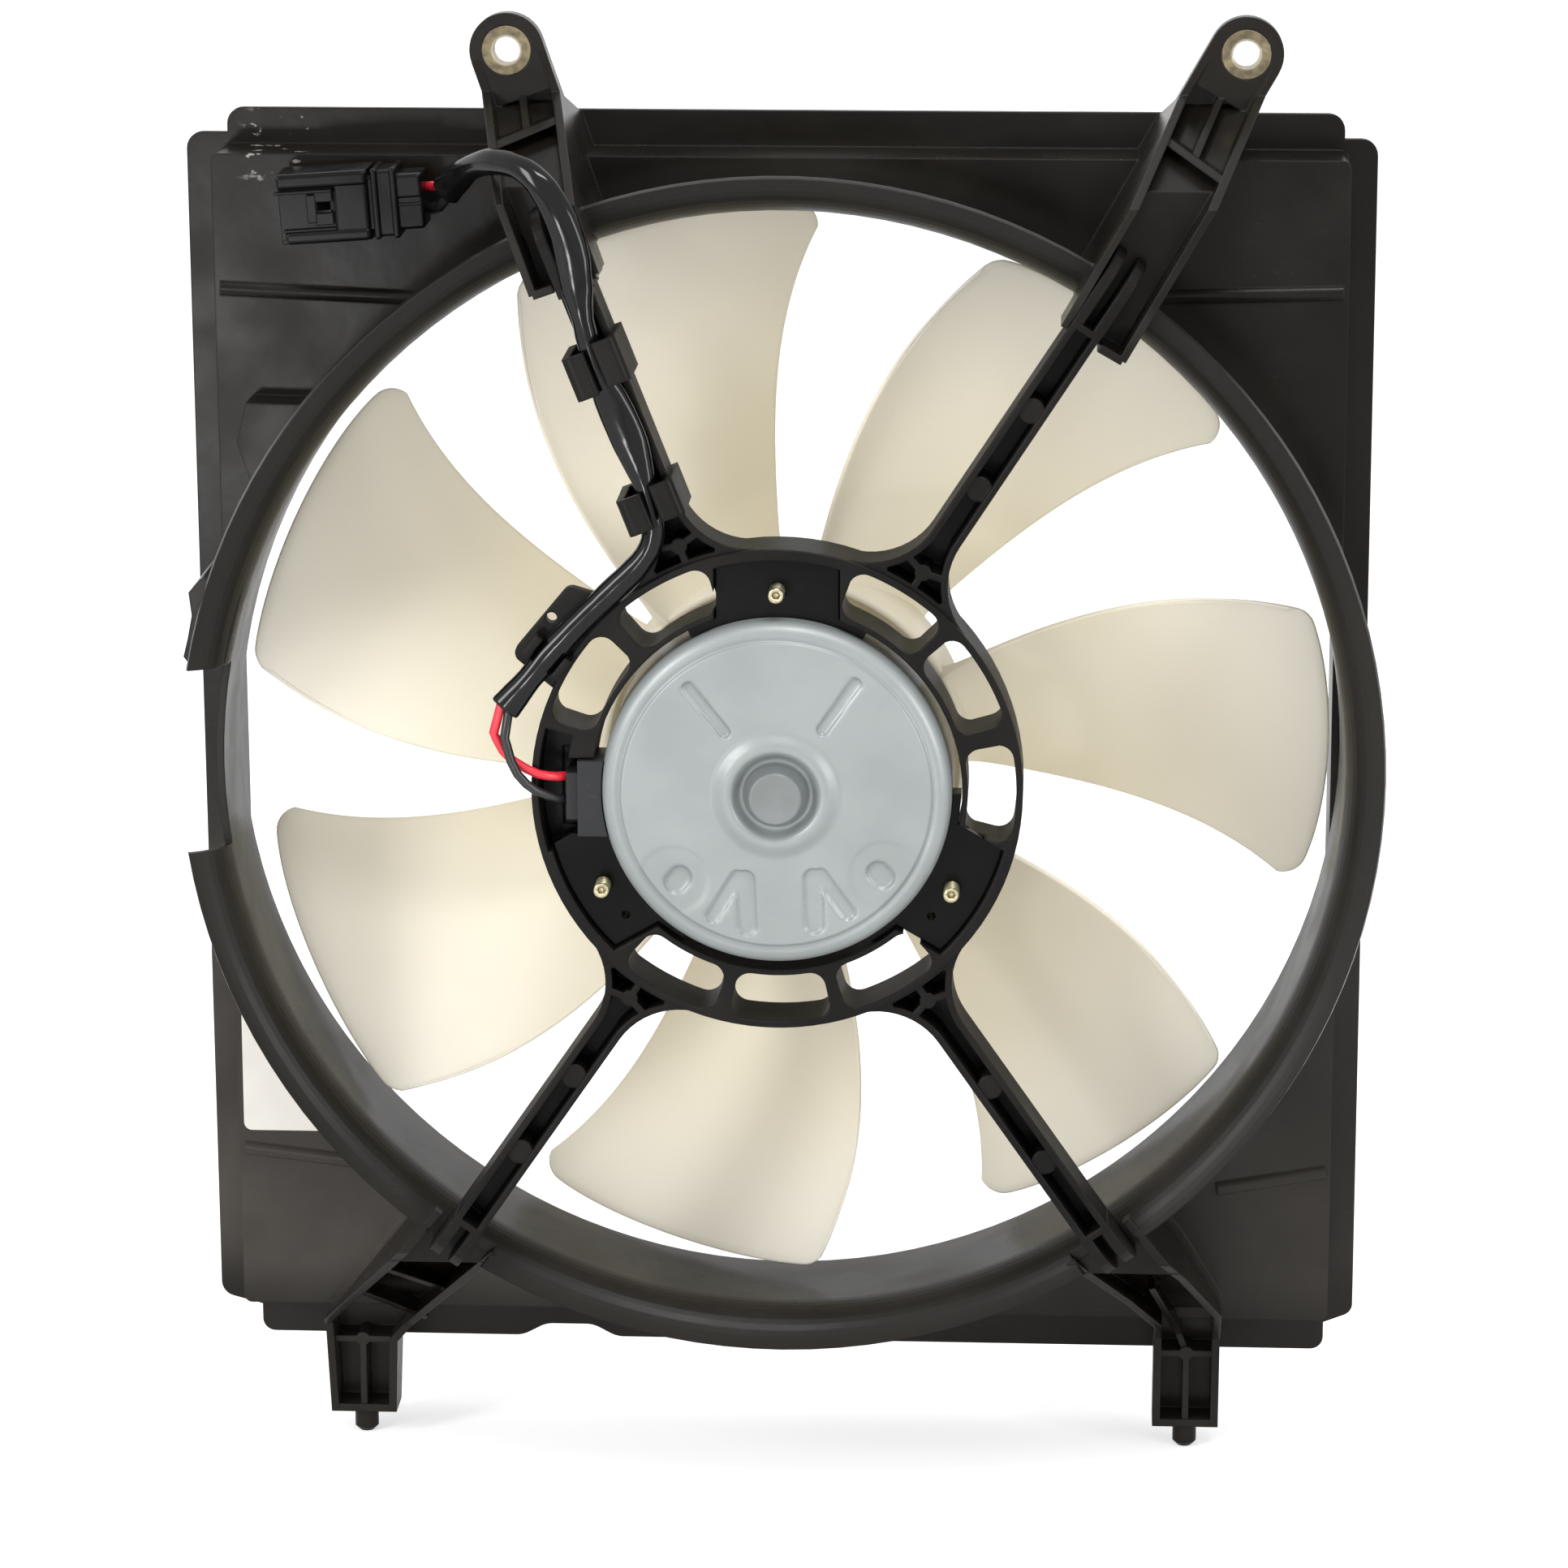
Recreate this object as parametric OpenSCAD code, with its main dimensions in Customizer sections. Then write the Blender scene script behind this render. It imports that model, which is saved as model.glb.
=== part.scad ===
// Radiator cooling fan: a moulded shroud with a four-armed motor stay, a DC motor and a seven-blade fan.
// +X is to the right, +Z is up, the motor side faces -Y and the radiator side faces +Y.
// The origin lies midway between the two upper bolt holes, on the rear face of their ears.
// Pieces are drawn about the fan axis: x to the right, y up and z toward the motor side.
// on_axis() then sets them in place.

/* [Mounting points] */
// Distance between the two upper bolt holes
bolt_spacing = 218; // [212:1:224]
// Height of the upper bolt holes above the fan axis
bolt_height = 210; // [206:1:220]
// Distance of the fan axis to the left of the middle between the bolts
fan_offset = 26; // [20:1:32]
// Bore of the bolt collars
bolt_bore_d = 8; // [6:0.5:10]
// Outside diameter of the bolt collars
collar_d = 14.6; // [13:0.2:16]
// Thickness of the ears that hold the collars
ear_t = 6; // [4:0.5:8]
// Radius of the ears' round ends
ear_r = 11; // [9.5:0.1:12]
// Distance between the two lower pegs
peg_spacing = 258; // [250:1:266]
// Distance of the pegs' middle to the left of the fan axis
peg_offset = 4.4; // [0:0.2:8]
// Distance from the fan axis down to the ends of the feet
foot_drop = 218; // [214:1:224]
// Diameter of the pegs under the feet
peg_d = 7.4; // [6:0.2:9]
// Length of the pegs
peg_len = 8; // [6:0.5:10]
// Width of the feet
foot_w = 20.5; // [18:0.5:23]

/* [Shroud pan] */
// Distance from the fan axis to the left edge of the flange
flange_left = 184; // [182:0.5:190]
// Distance from the fan axis to the right edge of the flange
flange_right = 177.5; // [176:0.5:184]
// Distance from the fan axis to the top edge of the flange
flange_top = 189; // [188:0.5:195]
// Distance from the fan axis to the bottom edge of the flange
flange_bottom = 202.5; // [199:0.5:206]
// Depth of the flange's rear face behind the ears' rear face
flange_back = 28; // [26:0.5:32]
// Depth of the pan's front face behind the ears' rear face
panel_back = 1.5; // [0.5:0.5:4]
// Width of the flange on the left and on the right
side_strip = 11; // [9:0.5:12]
// Width of the flange along the top
top_strip = 11; // [9:0.5:11.5]
// Width of the flange along the bottom
bottom_strip = 18; // [14:0.5:20]
// Wall of the shroud moulding
wall = 2.4; // [2:0.1:3]

/* [Shroud ring] */
// Inside radius of the ring around the fan
ring_r = 167.5; // [166.5:0.5:169]
// Depth of the ring's straight part in front of the ears' rear face
throat_w = 36; // [32:1:38]
// Radius of the flare at the ring's front
flare_r = 15; // [12:0.5:16]
// Angle that the flare turns through
flare_turn = 74; // [60:1:80]
// Radius of the ring's rounded inlet
inlet_r = 4; // [3:0.5:5]
// Height of the gap in the flare at the left
notch_h = 56; // [40:1:70]

/* [Legs] */
// Width of the two upper legs
upper_leg_w = 21.5; // [20.5:0.5:23]
// Width of the two lower legs where they leave the ring
lower_leg_w = 24.5; // [23:0.5:26]
// Height of the upper legs' walls beside the ring
leg_top = 62; // [58:0.5:64]
// Height of the lower legs' walls beside the ring
lower_leg_top = 52; // [50:0.5:56]
// Distance that the upper legs reach in past the ring's inside
leg_overhang = 6.5; // [4:0.5:8]
// Angle about the fan axis where the upper right leg starts
right_leg_angle = 55.6; // [54:0.2:58]
// Angle about the fan axis where the upper left leg starts
left_leg_angle = 112.4; // [111:0.2:114]

/* [Motor stay] */
// Width of the stay's ring between its bore and its outside
stay_width = 17.8; // [16:0.1:20]
// Rear face of the stay's ring
stay_back = 44; // [42:0.5:45]
// Front face of the stay's ring
stay_front = 64; // [63:0.5:66]
// Rear face of the arms, where they rest in the legs
arm_back = 46; // [45:0.5:48]
// Front face of the arms
arm_front = 62; // [60:0.5:63]
// Width of the arms
arm_w = 9.5; // [8:0.5:11]
// Wall of the arms and of the stay's ring
stay_wall = 2; // [1.6:0.1:2.4]
// Radius of the hollow fillets between the arms and the stay's ring
root_fillet = 22; // [16:1:24]
// Radius of the vent slots' corners
vent_corner = 4.5; // [2:0.5:5]
// Angle of each vent slot
vent_span = 25.6; // [20:0.2:26]

/* [Motor] */
// Outside radius of the motor can
can_r = 51.5; // [50.5:0.1:52]
// Flat front face of the motor can
can_face = 69; // [68:0.5:72]
// Open rear end of the motor can
can_back = 28; // [27:0.5:30]
// Sheet thickness of the motor can
can_t = 1.6; // [1.2:0.1:2]
// Radius of the can's front edge
can_edge_r = 5; // [3:0.5:6]
// Height of the bearing cup above the can's face
cup_h = 5; // [4:0.5:6]
// Radius of the bearing cup
cup_r = 8.6; // [8:0.1:9.5]
// Diameter of the motor screws
screw_d = 5; // [4:0.5:6]
// Diameter of the motor shaft
shaft_d = 8; // [7:0.5:9]
// Sheet thickness of the bracket that is welded to the can
bracket_t = 2.6; // [2:0.1:3]

/* [Fan] */
// Radius over the blade tips
fan_r = 164.5; // [160:0.5:165]
// Outside radius of the fan's hub
hub_r = 55; // [52:0.5:56]
// Wall of the fan's hub
hub_wall = 2.5; // [2:0.1:3]
// Number of blades
blade_count = 7; // [5:1:7]
// Thickness of the blades at the hub
blade_root_t = 3.4; // [2.6:0.1:4]
// Thickness of the blades at the tip
blade_tip_t = 2; // [1.6:0.1:2.6]
// Front rim of the hub and of the blades at the hub
blade_front = 22; // [20:0.5:23]
// Rear edge of the blades at the hub
blade_back = 18; // [17:0.5:20]

/* [Connector and lead] */
// Length of the connector's socket
connector_len = 27; // [24:0.5:32]
// Height of the connector
connector_h = 21; // [18:0.5:24]
// Depth of the connector
connector_d = 18; // [16:0.5:20]
// Wall of the connector's socket
connector_wall = 1.8; // [1.4:0.1:2.2]
// Outside diameter of the sleeve over the wires
sleeve_d = 7.3; // [6.8:0.1:8]
// Diameter of each wire
wire_d = 2.8; // [2.4:0.1:2.8]

/* [Hidden] */
$fa = 3;
$fs = 0.7;

// Clearances: parts that stay put, the shaft in its bearings, and the fan in the ring
seat_gap = 0.05;
running_gap = 0.03;
eps = 0.01;
deep = 200;

// Places of the main points about the fan axis
left_ear = [fan_offset - bolt_spacing / 2, bolt_height];
right_ear = [fan_offset + bolt_spacing / 2, bolt_height];
left_foot = [-peg_offset - peg_spacing / 2, -foot_drop];
right_foot = [-peg_offset + peg_spacing / 2, -foot_drop];
ring_out_r = ring_r + wall;
arm_angles = [57, 111.5, 235.7, 305];
LEFT_ARM = 1;
arm_tip_rs = [for (d = [19.5, 15.5, 13.5, 13.5]) ring_r + d];
arm_rib_rs = [for (d = [4.5, 9.5, 1.9, 1.5]) ring_r - d];
fork_w = [1, 1.2, 1, 1];
post_rs = [[107.5, 135], [118], [108, 137], [110.6, 139]];
pocket_angles = [90, 210, 330];
vent_angles = [0, 30, 58.5, 120, 150, 242, 271, 300];

// The stay's ring leaves the bracket free, and the screws and pockets keep their distance from its bore
bracket_room = 0.4;
stay_bore_r = can_r + bracket_t + bracket_room;
stay_r = stay_bore_r + stay_width;
screw_circle_r = stay_bore_r + 5;
pocket_r = stay_r - 3.3;
pocket_half = 18.5;
drain_angles = [221, 320];
drain_r = 1.3;

// Pan and flange heights along the axis
flange_rear = -flange_back;
flange_face = flange_rear + wall;
panel_face = -panel_back;
panel_rear = panel_face - wall;
flange_mid = flange_rear + wall / 2;
panel_mid = panel_face - wall / 2;

// Small plane geometry
function polar(r, a) = [r * cos(a), r * sin(a)];
function turn(p, a) = [p[0] * cos(a) - p[1] * sin(a), p[0] * sin(a) + p[1] * cos(a)];
function unit(v) = v / norm(v);
function left_of(v) = [-v[1], v[0]];
function cross2(a, b) = a[0] * b[1] - a[1] * b[0];

// Rounds the corners of an outline whose points are [x, y, radius]
corner_steps = 6;
arc_steps = 10;
function corner(p, q, s) =
    let (a = unit([p[0] - q[0], p[1] - q[1]]), b = unit([s[0] - q[0], s[1] - q[1]]))
    let (half = acos(a * b) / 2, sweep = -sign(cross2(a, b)) * (180 - 2 * half))
    let (c = [q[0], q[1]] + unit(a + b) * q[2] / sin(half))
    let (start = [q[0], q[1]] + a * q[2] / tan(half) - c)
    q[2] == 0 ? [[q[0], q[1]]] : [for (k = [0 : corner_steps]) c + turn(start, sweep * k / corner_steps)];
function rounded(c) = [for (i = [0 : len(c) - 1]) each corner(c[(i + len(c) - 1) % len(c)], c[i], c[(i + 1) % len(c)])];

// A strip along a path, with half widths h at its points
function path_side(p, i) =
    let (a = i > 0 ? unit(p[i] - p[i - 1]) : unit(p[1] - p[0]))
    let (b = i < len(p) - 1 ? unit(p[i + 1] - p[i]) : a)
    (left_of(a) + left_of(b)) / (1 + a * b);
function strip(p, h) = concat(
    [for (i = [0 : len(p) - 1]) p[i] - h[i] * path_side(p, i)],
    [for (i = [len(p) - 1 : -1 : 0]) p[i] + h[i] * path_side(p, i)]);

module on_axis() { translate([-fan_offset, 0, -bolt_height]) rotate([90, 0, 0]) children(); }
module slab(z0, z1) { translate([0, 0, z0]) linear_extrude(z1 - z0) children(); }
module disc(r, z0, z1) { translate([0, 0, z0]) cylinder(r = r, h = z1 - z0); }
module ring_solid(r_out, r_in, z0, z1) {
    difference() {
        disc(r_out, z0, z1);
        disc(r_in, z0 - 1, z1 + 1);
    }
}
module bar(a, b, t) {
    translate(a) rotate(atan2(b[1] - a[1], b[0] - a[0])) translate([0, -t / 2]) square([norm(b - a), t]);
}
// A solid whose outline is given in height (y) and depth (z), and which runs from x0 to x1
module side_profile(pts, x0, x1) {
    translate([x0, 0, 0]) rotate([90, 0, 90]) linear_extrude(x1 - x0) polygon(pts);
}
// A sector of a ring, with its four corners rounded
function bend(c, r, a0, a1, steps) = [for (k = [0 : steps - 1]) c + polar(r, a0 + (a1 - a0) * k / steps)];
module rounded_sector(r0, r1, span, c, z0, z1) {
    a0 = span / 2 - asin(c / (r0 + c));
    a1 = span / 2 - asin(c / (r1 - c));
    side = span / 2 + 90;
    slab(z0, z1) polygon(concat(
        bend([0, 0], r1, -a1, a1, arc_steps),
        bend(polar(r1 - c, a1), c, a1, side, corner_steps),
        bend(polar(r0 + c, a0), c, side, a0 + 180, corner_steps),
        bend([0, 0], r0, a0, -a0, arc_steps),
        bend(polar(r0 + c, -a0), c, 180 - a0, 360 - side, corner_steps),
        bend(polar(r1 - c, -a1), c, 360 - side, 360 - a1, corner_steps)));
}

// Outlines of the flange and of the pan in front of it
strip_inset = 12.5;
step_h = 7.5;
corner_r = 5;
pan_corner_r = 2.5;
lean = 1.5;
low_step = 9;
wave = [-71, 15, 4];
function flange_outline() = rounded([
    [-flange_left + strip_inset + 2, -flange_bottom, 4],
    [wave[0] - wave[1], -flange_bottom, 9], [wave[0] - wave[1] / 2, -flange_bottom + wave[2], 9],
    [wave[0] + wave[1] / 2, -flange_bottom + wave[2], 9], [wave[0] + wave[1], -flange_bottom, 9],
    [flange_right - low_step, -flange_bottom, 4], [flange_right - low_step, -flange_bottom + low_step, 0],
    [flange_right, -flange_bottom + strip_inset, 4], [flange_right - lean, flange_top - step_h, corner_r],
    [flange_right - strip_inset + 1, flange_top - step_h, 0],
    [flange_right - strip_inset + 1, flange_top, corner_r], [-flange_left + strip_inset, flange_top, corner_r],
    [-flange_left + strip_inset, flange_top - step_h, 0], [-flange_left, flange_top - step_h, corner_r],
    [-flange_left + lean, -flange_bottom + strip_inset, corner_r],
    [-flange_left + strip_inset + 2, -flange_bottom + low_step, 0]]);
function pan_outline(d) = rounded([
    [-flange_left + lean + side_strip + d, -flange_bottom + bottom_strip + d, pan_corner_r],
    [flange_right - side_strip + 2 - d, -flange_bottom + bottom_strip + d, pan_corner_r],
    [flange_right - side_strip + 2 - lean - d, flange_top - top_strip - d, pan_corner_r],
    [-flange_left + side_strip + d, flange_top - top_strip - d, pan_corner_r]]);

// The pan: flange, side walls and front panel
module pan() {
    difference() {
        union() {
            slab(flange_rear, flange_face) polygon(flange_outline());
            slab(flange_rear, panel_face) polygon(pan_outline(0));
        }
        slab(flange_rear - 1, panel_rear) polygon(pan_outline(wall));
        disc(ring_r + inlet_r, panel_rear - 1, panel_face + 1);
        leg_room(right_leg_path, [upper_half, ear_r], panel_rear - 1, panel_face + 1);
        leg_room(left_leg_path, [upper_half, ear_r], panel_rear - 1, panel_face + 1);
    }
}

// Ring: rounded inlet, straight throat and flare
function arc(c, r, a0, a1) = [for (k = [0 : arc_steps]) c + polar(r, a0 + (a1 - a0) * k / arc_steps)];
module ring() {
    flare_c = [ring_r + flare_r, throat_w];
    inlet_c = [ring_r + inlet_r, panel_rear + inlet_r];
    rotate_extrude() polygon(concat(
        arc(flare_c, flare_r, 180, 180 - flare_turn),
        arc(flare_c, flare_r - wall, 180 - flare_turn, 180),
        [[ring_out_r, panel_face], [ring_r + inlet_r, panel_face]],
        arc(inlet_c, inlet_r, 270, 180)));
}

// Legs, as strips along a path from the ring to the ear or the foot
leg_r = ring_r - leg_overhang;
foot_h = 24;
right_leg_path = [polar(leg_r, right_leg_angle), right_ear];
left_leg_path = [polar(leg_r, left_leg_angle), left_ear];
left_foot_path = [polar(ring_out_r + 2, 236.4), left_foot + [0, foot_h + 4.4], left_foot];
right_foot_path = [polar(ring_out_r + 2, -55.9), [peg_spacing / 2 - 15, -163], right_foot + [0, 39], right_foot];
upper_half = upper_leg_w / 2;
lower_half = lower_leg_w / 2;
foot_half = foot_w / 2;
ear_step = ear_r + 4;
pan_top = flange_top - top_strip;

// Heights and depths of the wall tops and of the floors: upper legs, then lower legs
leg_in_y = 0.7 * ring_r;
slope_y0 = 172;
slope_y1 = bolt_height - ear_r - 1;
upper_top = [[leg_in_y, leg_top], [slope_y0, leg_top], [slope_y1, ear_t + 1], [bolt_height, ear_t]];
upper_floor = [[leg_in_y, arm_back], [slope_y0 + 3, arm_back], [slope_y1 - 3, wall], [bolt_height, wall]];
upper_under = [[leg_in_y, arm_back - wall], [slope_y0 + 1, arm_back - wall], [slope_y1 - 5, 0], [bolt_height, 0]];
foot_front = 5;
foot_back = -8;
knee_y = -foot_drop + foot_h + 6;
foot_post_r = 2.2;
peg_lead_in = 1.5;
lower_top = [[-leg_in_y, lower_leg_top], [-150, lower_leg_top - 3], [knee_y, foot_front + 3], [-foot_drop, foot_front]];
lower_floor = [[-leg_in_y, arm_back], [-154, arm_back - 1], [-161, 24], [knee_y + 4, foot_back + wall],
    [-foot_drop, foot_back + wall]];
lower_under = [for (p = lower_floor) [p[0], p[1] - (p[1] > 10 ? 2 * wall : wall)]];
function backwards(p) = [for (i = [len(p) - 1 : -1 : 0]) p[i]];
upper_body = concat(upper_top,
    [[bolt_height, 0], [slope_y1 - 2, 0], [flange_top - 1, flange_mid], [pan_top, flange_mid],
    [pan_top - wall / 2, panel_mid], [leg_in_y, panel_mid]]);
lower_body = concat(lower_top,
    [[-foot_drop, foot_back], [-flange_bottom + 1, foot_back], [-flange_bottom + bottom_strip, panel_mid],
    [-leg_in_y, panel_mid]]);

function longer(path) = concat([2 * path[0] - path[1]], [for (i = [1 : len(path) - 1]) path[i]]);
module leg_walls(path, half, body) {
    intersection() {
        slab(flange_rear, leg_top + 1) difference() {
            polygon(strip(path, half));
            polygon(strip(longer(path), [for (h = half) h - wall]));
        }
        side_profile(body, -deep, deep);
    }
}
module leg_floor(path, half, floor_top, under) {
    intersection() {
        slab(foot_back - 1, leg_top) polygon(strip(path, half));
        side_profile(concat(floor_top, backwards(under)), -deep, deep);
    }
}
module leg_rib(a, b, body, floor_top, drop) {
    intersection() {
        slab(foot_back, leg_top) bar(a, b, stay_wall);
        side_profile(concat([for (p = body) [p[0], p[1] - drop]], backwards(floor_top)), -deep, deep);
    }
}
// Closes the inner end of an upper leg on both sides of the arm
module leg_end(path, half, arm_angle) {
    side = left_of(unit(path[1] - path[0]));
    difference() {
        slab(arm_back - wall, leg_top) bar(path[0] - side * (half - 1), path[0] + side * (half - 1), wall);
        rotate([0, 0, arm_angle]) translate([0, -arm_w / 2 - 1.2, arm_back]) cube([deep, arm_w + 2.4, 30]);
    }
}
// Outline of an ear: the leg's end with a half circle
ear_steps = 20;
function ear_outline(path) =
    let (run = path[1] - path[0], along = unit(run), side = left_of(along))
    let (start_half = ear_r + (upper_half - ear_r) * ear_step / norm(run), start = path[1] - along * ear_step)
    concat([start + side * start_half],
        [for (k = [0 : ear_steps]) let (a = 180 * k / ear_steps) path[1] + ear_r * (side * cos(a) + along * sin(a))],
        [start - side * start_half]);

// An upper leg with its ear
module upper_leg(path, arm_angle, rib_y) {
    along = unit(path[1] - path[0]);
    side = left_of(along);
    span = norm(path[1] - path[0]);
    leg_walls(path, [upper_half, ear_r], upper_body);
    leg_floor(path, [upper_half, ear_r], upper_floor, upper_under);
    leg_end(path, upper_half, arm_angle);
    slab(0, ear_t) polygon(ear_outline(path));
    mid = path[0] + along * (rib_y - path[0][1]) / along[1];
    leg_rib(mid - side * (upper_half - 1), mid + side * (upper_half - 1), upper_top, upper_floor, 2);
    leg_rib(mid, path[1] - along * (ear_step - 1), upper_top, upper_floor, 3);
}
// A lower leg with its foot and peg
module lower_leg(path, half, foot, rib_ys) {
    leg_walls(path, half, lower_body);
    leg_floor(path, half, lower_floor, lower_under);
    node_at = foot + [0, foot_h];
    slab(foot_back, foot_front) {
        bar(foot - [foot_half, -wall / 2], foot + [foot_half, wall / 2], wall);
    }
    slab(foot_back, foot_front - 0.6) {
        bar(foot, node_at, stay_wall);
        bar(node_at - [foot_half - 1, 0], node_at + [foot_half - 1, 0], stay_wall);
        translate(node_at) circle(foot_post_r);
    }
    for (r = rib_ys) leg_rib(r[0], r[1], lower_top, lower_floor, 4);
    translate([foot[0], foot[1] + wall / 2, (foot_front + foot_back) / 2]) rotate([90, 0, 0]) {
        cylinder(d = peg_d, h = peg_len - peg_lead_in + wall / 2);
        translate([0, 0, peg_len - peg_lead_in + wall / 2])
            cylinder(d1 = peg_d, d2 = peg_d - 2 * peg_lead_in, h = peg_lead_in);
    }
}
// The space inside a leg, where the ring and the panel are cut away
module leg_room(path, half, z0, z1) {
    slab(z0, z1) polygon(strip(path, [for (h = half) h - wall]));
}
// The gap in the ring's flare where an arm passes into its leg
module flare_gap(path, half) {
    along = unit(path[1] - path[0]);
    slab(arm_back, leg_top) polygon(strip([path[0] - along * 12, path[0] + along * 26], [half - wall, half - wall]));
}
// The space round an arm that comes close to the wall of its leg
arm_gap = 0.3;
module arm_room(i) {
    rotate([0, 0, arm_angles[i]]) translate([leg_r - 4, -arm_w / 2 - arm_gap, arm_back - 0.05])
        cube([24, arm_w + 2 * arm_gap, leg_top]);
}
lower_halfs_left = [lower_half, lower_half - 1, foot_half];
lower_halfs_right = [lower_half, lower_half - 1, foot_half, foot_half];

// Low beads pressed into the panel, from the pan's edge to the ring
beads = [
    [[-171, 137.4], [-111.6, 134.9]], [[106.8, 136.8], [165.6, 138.5]], [[133.3, -141.8], [167, -135.8]],
    [[-170.2, -133.3], [-130, -138]]];
bead_r = 2.6;
module panel_beads() {
    for (b = beads) {
        run = b[1] - b[0];
        translate([b[0][0], b[0][1], panel_face - bead_r / 2]) rotate([0, 0, atan2(run[1], run[0])])
            rotate([0, 90, 0]) cylinder(r = bead_r, h = norm(run));
    }
}
// The raised block at the ring's left, and the closed end of the flare below it, drawn from the ring's left
block_top = 13;
block = [[2.5, 93], [5.5, 105], [28.5, 104.5], [22.5, 84], [15.5, 70], [11.5, 66]];
flare_end = [[8.5, 57], [-5, 57], [-8.5, 53], [-7.7, 46], [-9.1, 39], [-10.5, 33.5], [-9, 31.5], [2, 31.5]];
module side_block() {
    translate([-ring_r, 0]) {
        slab(panel_rear, block_top) polygon(block);
        slab(panel_rear, throat_w + 6) polygon(flare_end);
    }
}
// Pedestal that carries the connector
connector_tilt = 4;
connector_at = [-127.6, 165.7];
pedestal_top = 3;
module pedestal() {
    translate(connector_at) rotate([0, 0, connector_tilt]) {
        translate([-8, -7, panel_rear]) cube([20, 14, pedestal_top - panel_rear - 1.5]);
        translate([-6, -4, panel_rear]) cube([16, 8, pedestal_top - panel_rear]);
    }
}

module shroud() {
    color("#26231f") on_axis() difference() {
        union() {
            pan();
            difference() {
                ring();
                translate([-deep, 31 - notch_h, throat_w]) cube([40, notch_h, 40]);
                flare_gap(right_leg_path, upper_half);
                flare_gap(left_leg_path, upper_half);
                flare_gap(left_foot_path, lower_half);
                flare_gap(right_foot_path, lower_half);
            }
            difference() {
                union() {
                    upper_leg(right_leg_path, arm_angles[0], 182.8);
                    upper_leg(left_leg_path, arm_angles[LEFT_ARM], 188.2);
                    lower_leg(left_foot_path, lower_halfs_left, left_foot,
                        [[[-113, -186], [-133, -172]], [[-103, -172], [-124, -160]]]);
                    lower_leg(right_foot_path, lower_halfs_right, right_foot,
                        [[[108, -168], [128, -156]], [[113, -164], right_foot + [0, foot_h]]]);
                }
                disc(ring_r, flange_rear - 1, arm_back - wall);
                arm_room(0);
            }
            difference() {
                union() {
                    panel_beads();
                    side_block();
                }
                disc(ring_r + 0.2, flange_rear - 1, leg_top);
            }
            pedestal();
        }
        for (e = [left_ear, right_ear]) translate(e) disc(collar_d / 2, -1, ear_t + 1);
    }
}

// Steel collars in the ears
module collar(at) {
    color("#8c8269") on_axis() translate(at) difference() {
        disc(collar_d / 2 - seat_gap, 0, ear_t);
        disc(bolt_bore_d / 2, -1, ear_t + 1);
    }
}
module left_collar() { collar(left_ear); }
module right_collar() { collar(right_ear); }

// Motor stay: ring with vents and screw pockets, and four hollow arms with forked ends
pocket_floor = 58;
root_post_r = stay_r + 5.7;
root_pocket_r = 10.5;
prong_t = 3.2;
prong_proud = 0.2;
// Outline of a screw pocket, or of the ear that lies in it, inset by d
function pocket_outline(d) =
    let (r = pocket_r - d, half = pocket_half - d, end = asin(half / r))
    concat([[stay_bore_r - 8, -half]], bend([0, 0], r, -end, end, arc_steps), [polar(r, end), [stay_bore_r - 8, half]]);
module root_web(a, inset) {
    h = arm_w / 2 + root_fillet;
    x = sqrt(pow(stay_r + root_fillet, 2) - h * h);
    rotate(a) difference() {
        polygon([[0, 0], [x, -h], [x, h]]);
        for (s = [-1, 1]) translate([x, s * h]) circle(root_fillet + inset);
    }
}
module arm_solid(i) {
    rib_r = arm_rib_rs[i];
    tip_r = arm_tip_rs[i];
    spread = (arm_w - prong_t) / 2 * fork_w[i] + prong_proud;
    round_r = 10;
    slab(arm_back, arm_front) {
        root_web(arm_angles[i], 0);
        rotate(arm_angles[i]) translate([stay_r - 4, -arm_w / 2]) square([rib_r - stay_r + 5, arm_w]);
    }
    rotate([0, 0, arm_angles[i]]) for (s = [-1, 1]) translate([0, s * spread + prong_t / 2, 0]) rotate([90, 0, 0])
        linear_extrude(prong_t) polygon(rounded([[rib_r - 0.5, arm_back + prong_proud, 0],
            [tip_r, arm_back + prong_proud, 1], [tip_r, arm_front - prong_proud, round_r],
            [rib_r - 0.5, arm_front - prong_proud, 0]]));
}
module arm_hollow(i) {
    difference() {
        slab(arm_back + stay_wall, arm_front + 1) {
            difference() {
                intersection() {
                    root_web(arm_angles[i], stay_wall);
                    rotate(arm_angles[i]) translate([root_post_r, 0]) circle(root_pocket_r);
                }
                circle(stay_r + 1);
                rotate(arm_angles[i]) translate([root_post_r, 0]) {
                    circle(2.4);
                    for (a = [-75, 75, 180]) rotate(a) bar([0, 0], [14, 0], stay_wall);
                }
            }
            rotate(arm_angles[i]) translate([root_post_r + 9, stay_wall - arm_w / 2])
                square([arm_rib_rs[i] - root_post_r - 10, arm_w - 2 * stay_wall]);
        }
        rotate([0, 0, arm_angles[i]]) for (r = post_rs[i]) translate([r, 0, 0]) disc(arm_w / 2 - 1, 0, arm_front - 1);
    }
}
// Hooks that hold the lead on the left arm
hook_t = 2.4;
plate_tab = 7.4;
hook_foot = arm_back + 0.3;
lead_w = 66;
hook_top = lead_w + sleeve_d / 2 + 0.4;
hooks = [[87, 11, 1, 8.6, 3.4], [88, 11, -1, 4.4, -0.6], [129, 13, 1, 7.8, 3.4], [130, 13.5, -1, 4.4, -0.6]];
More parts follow.
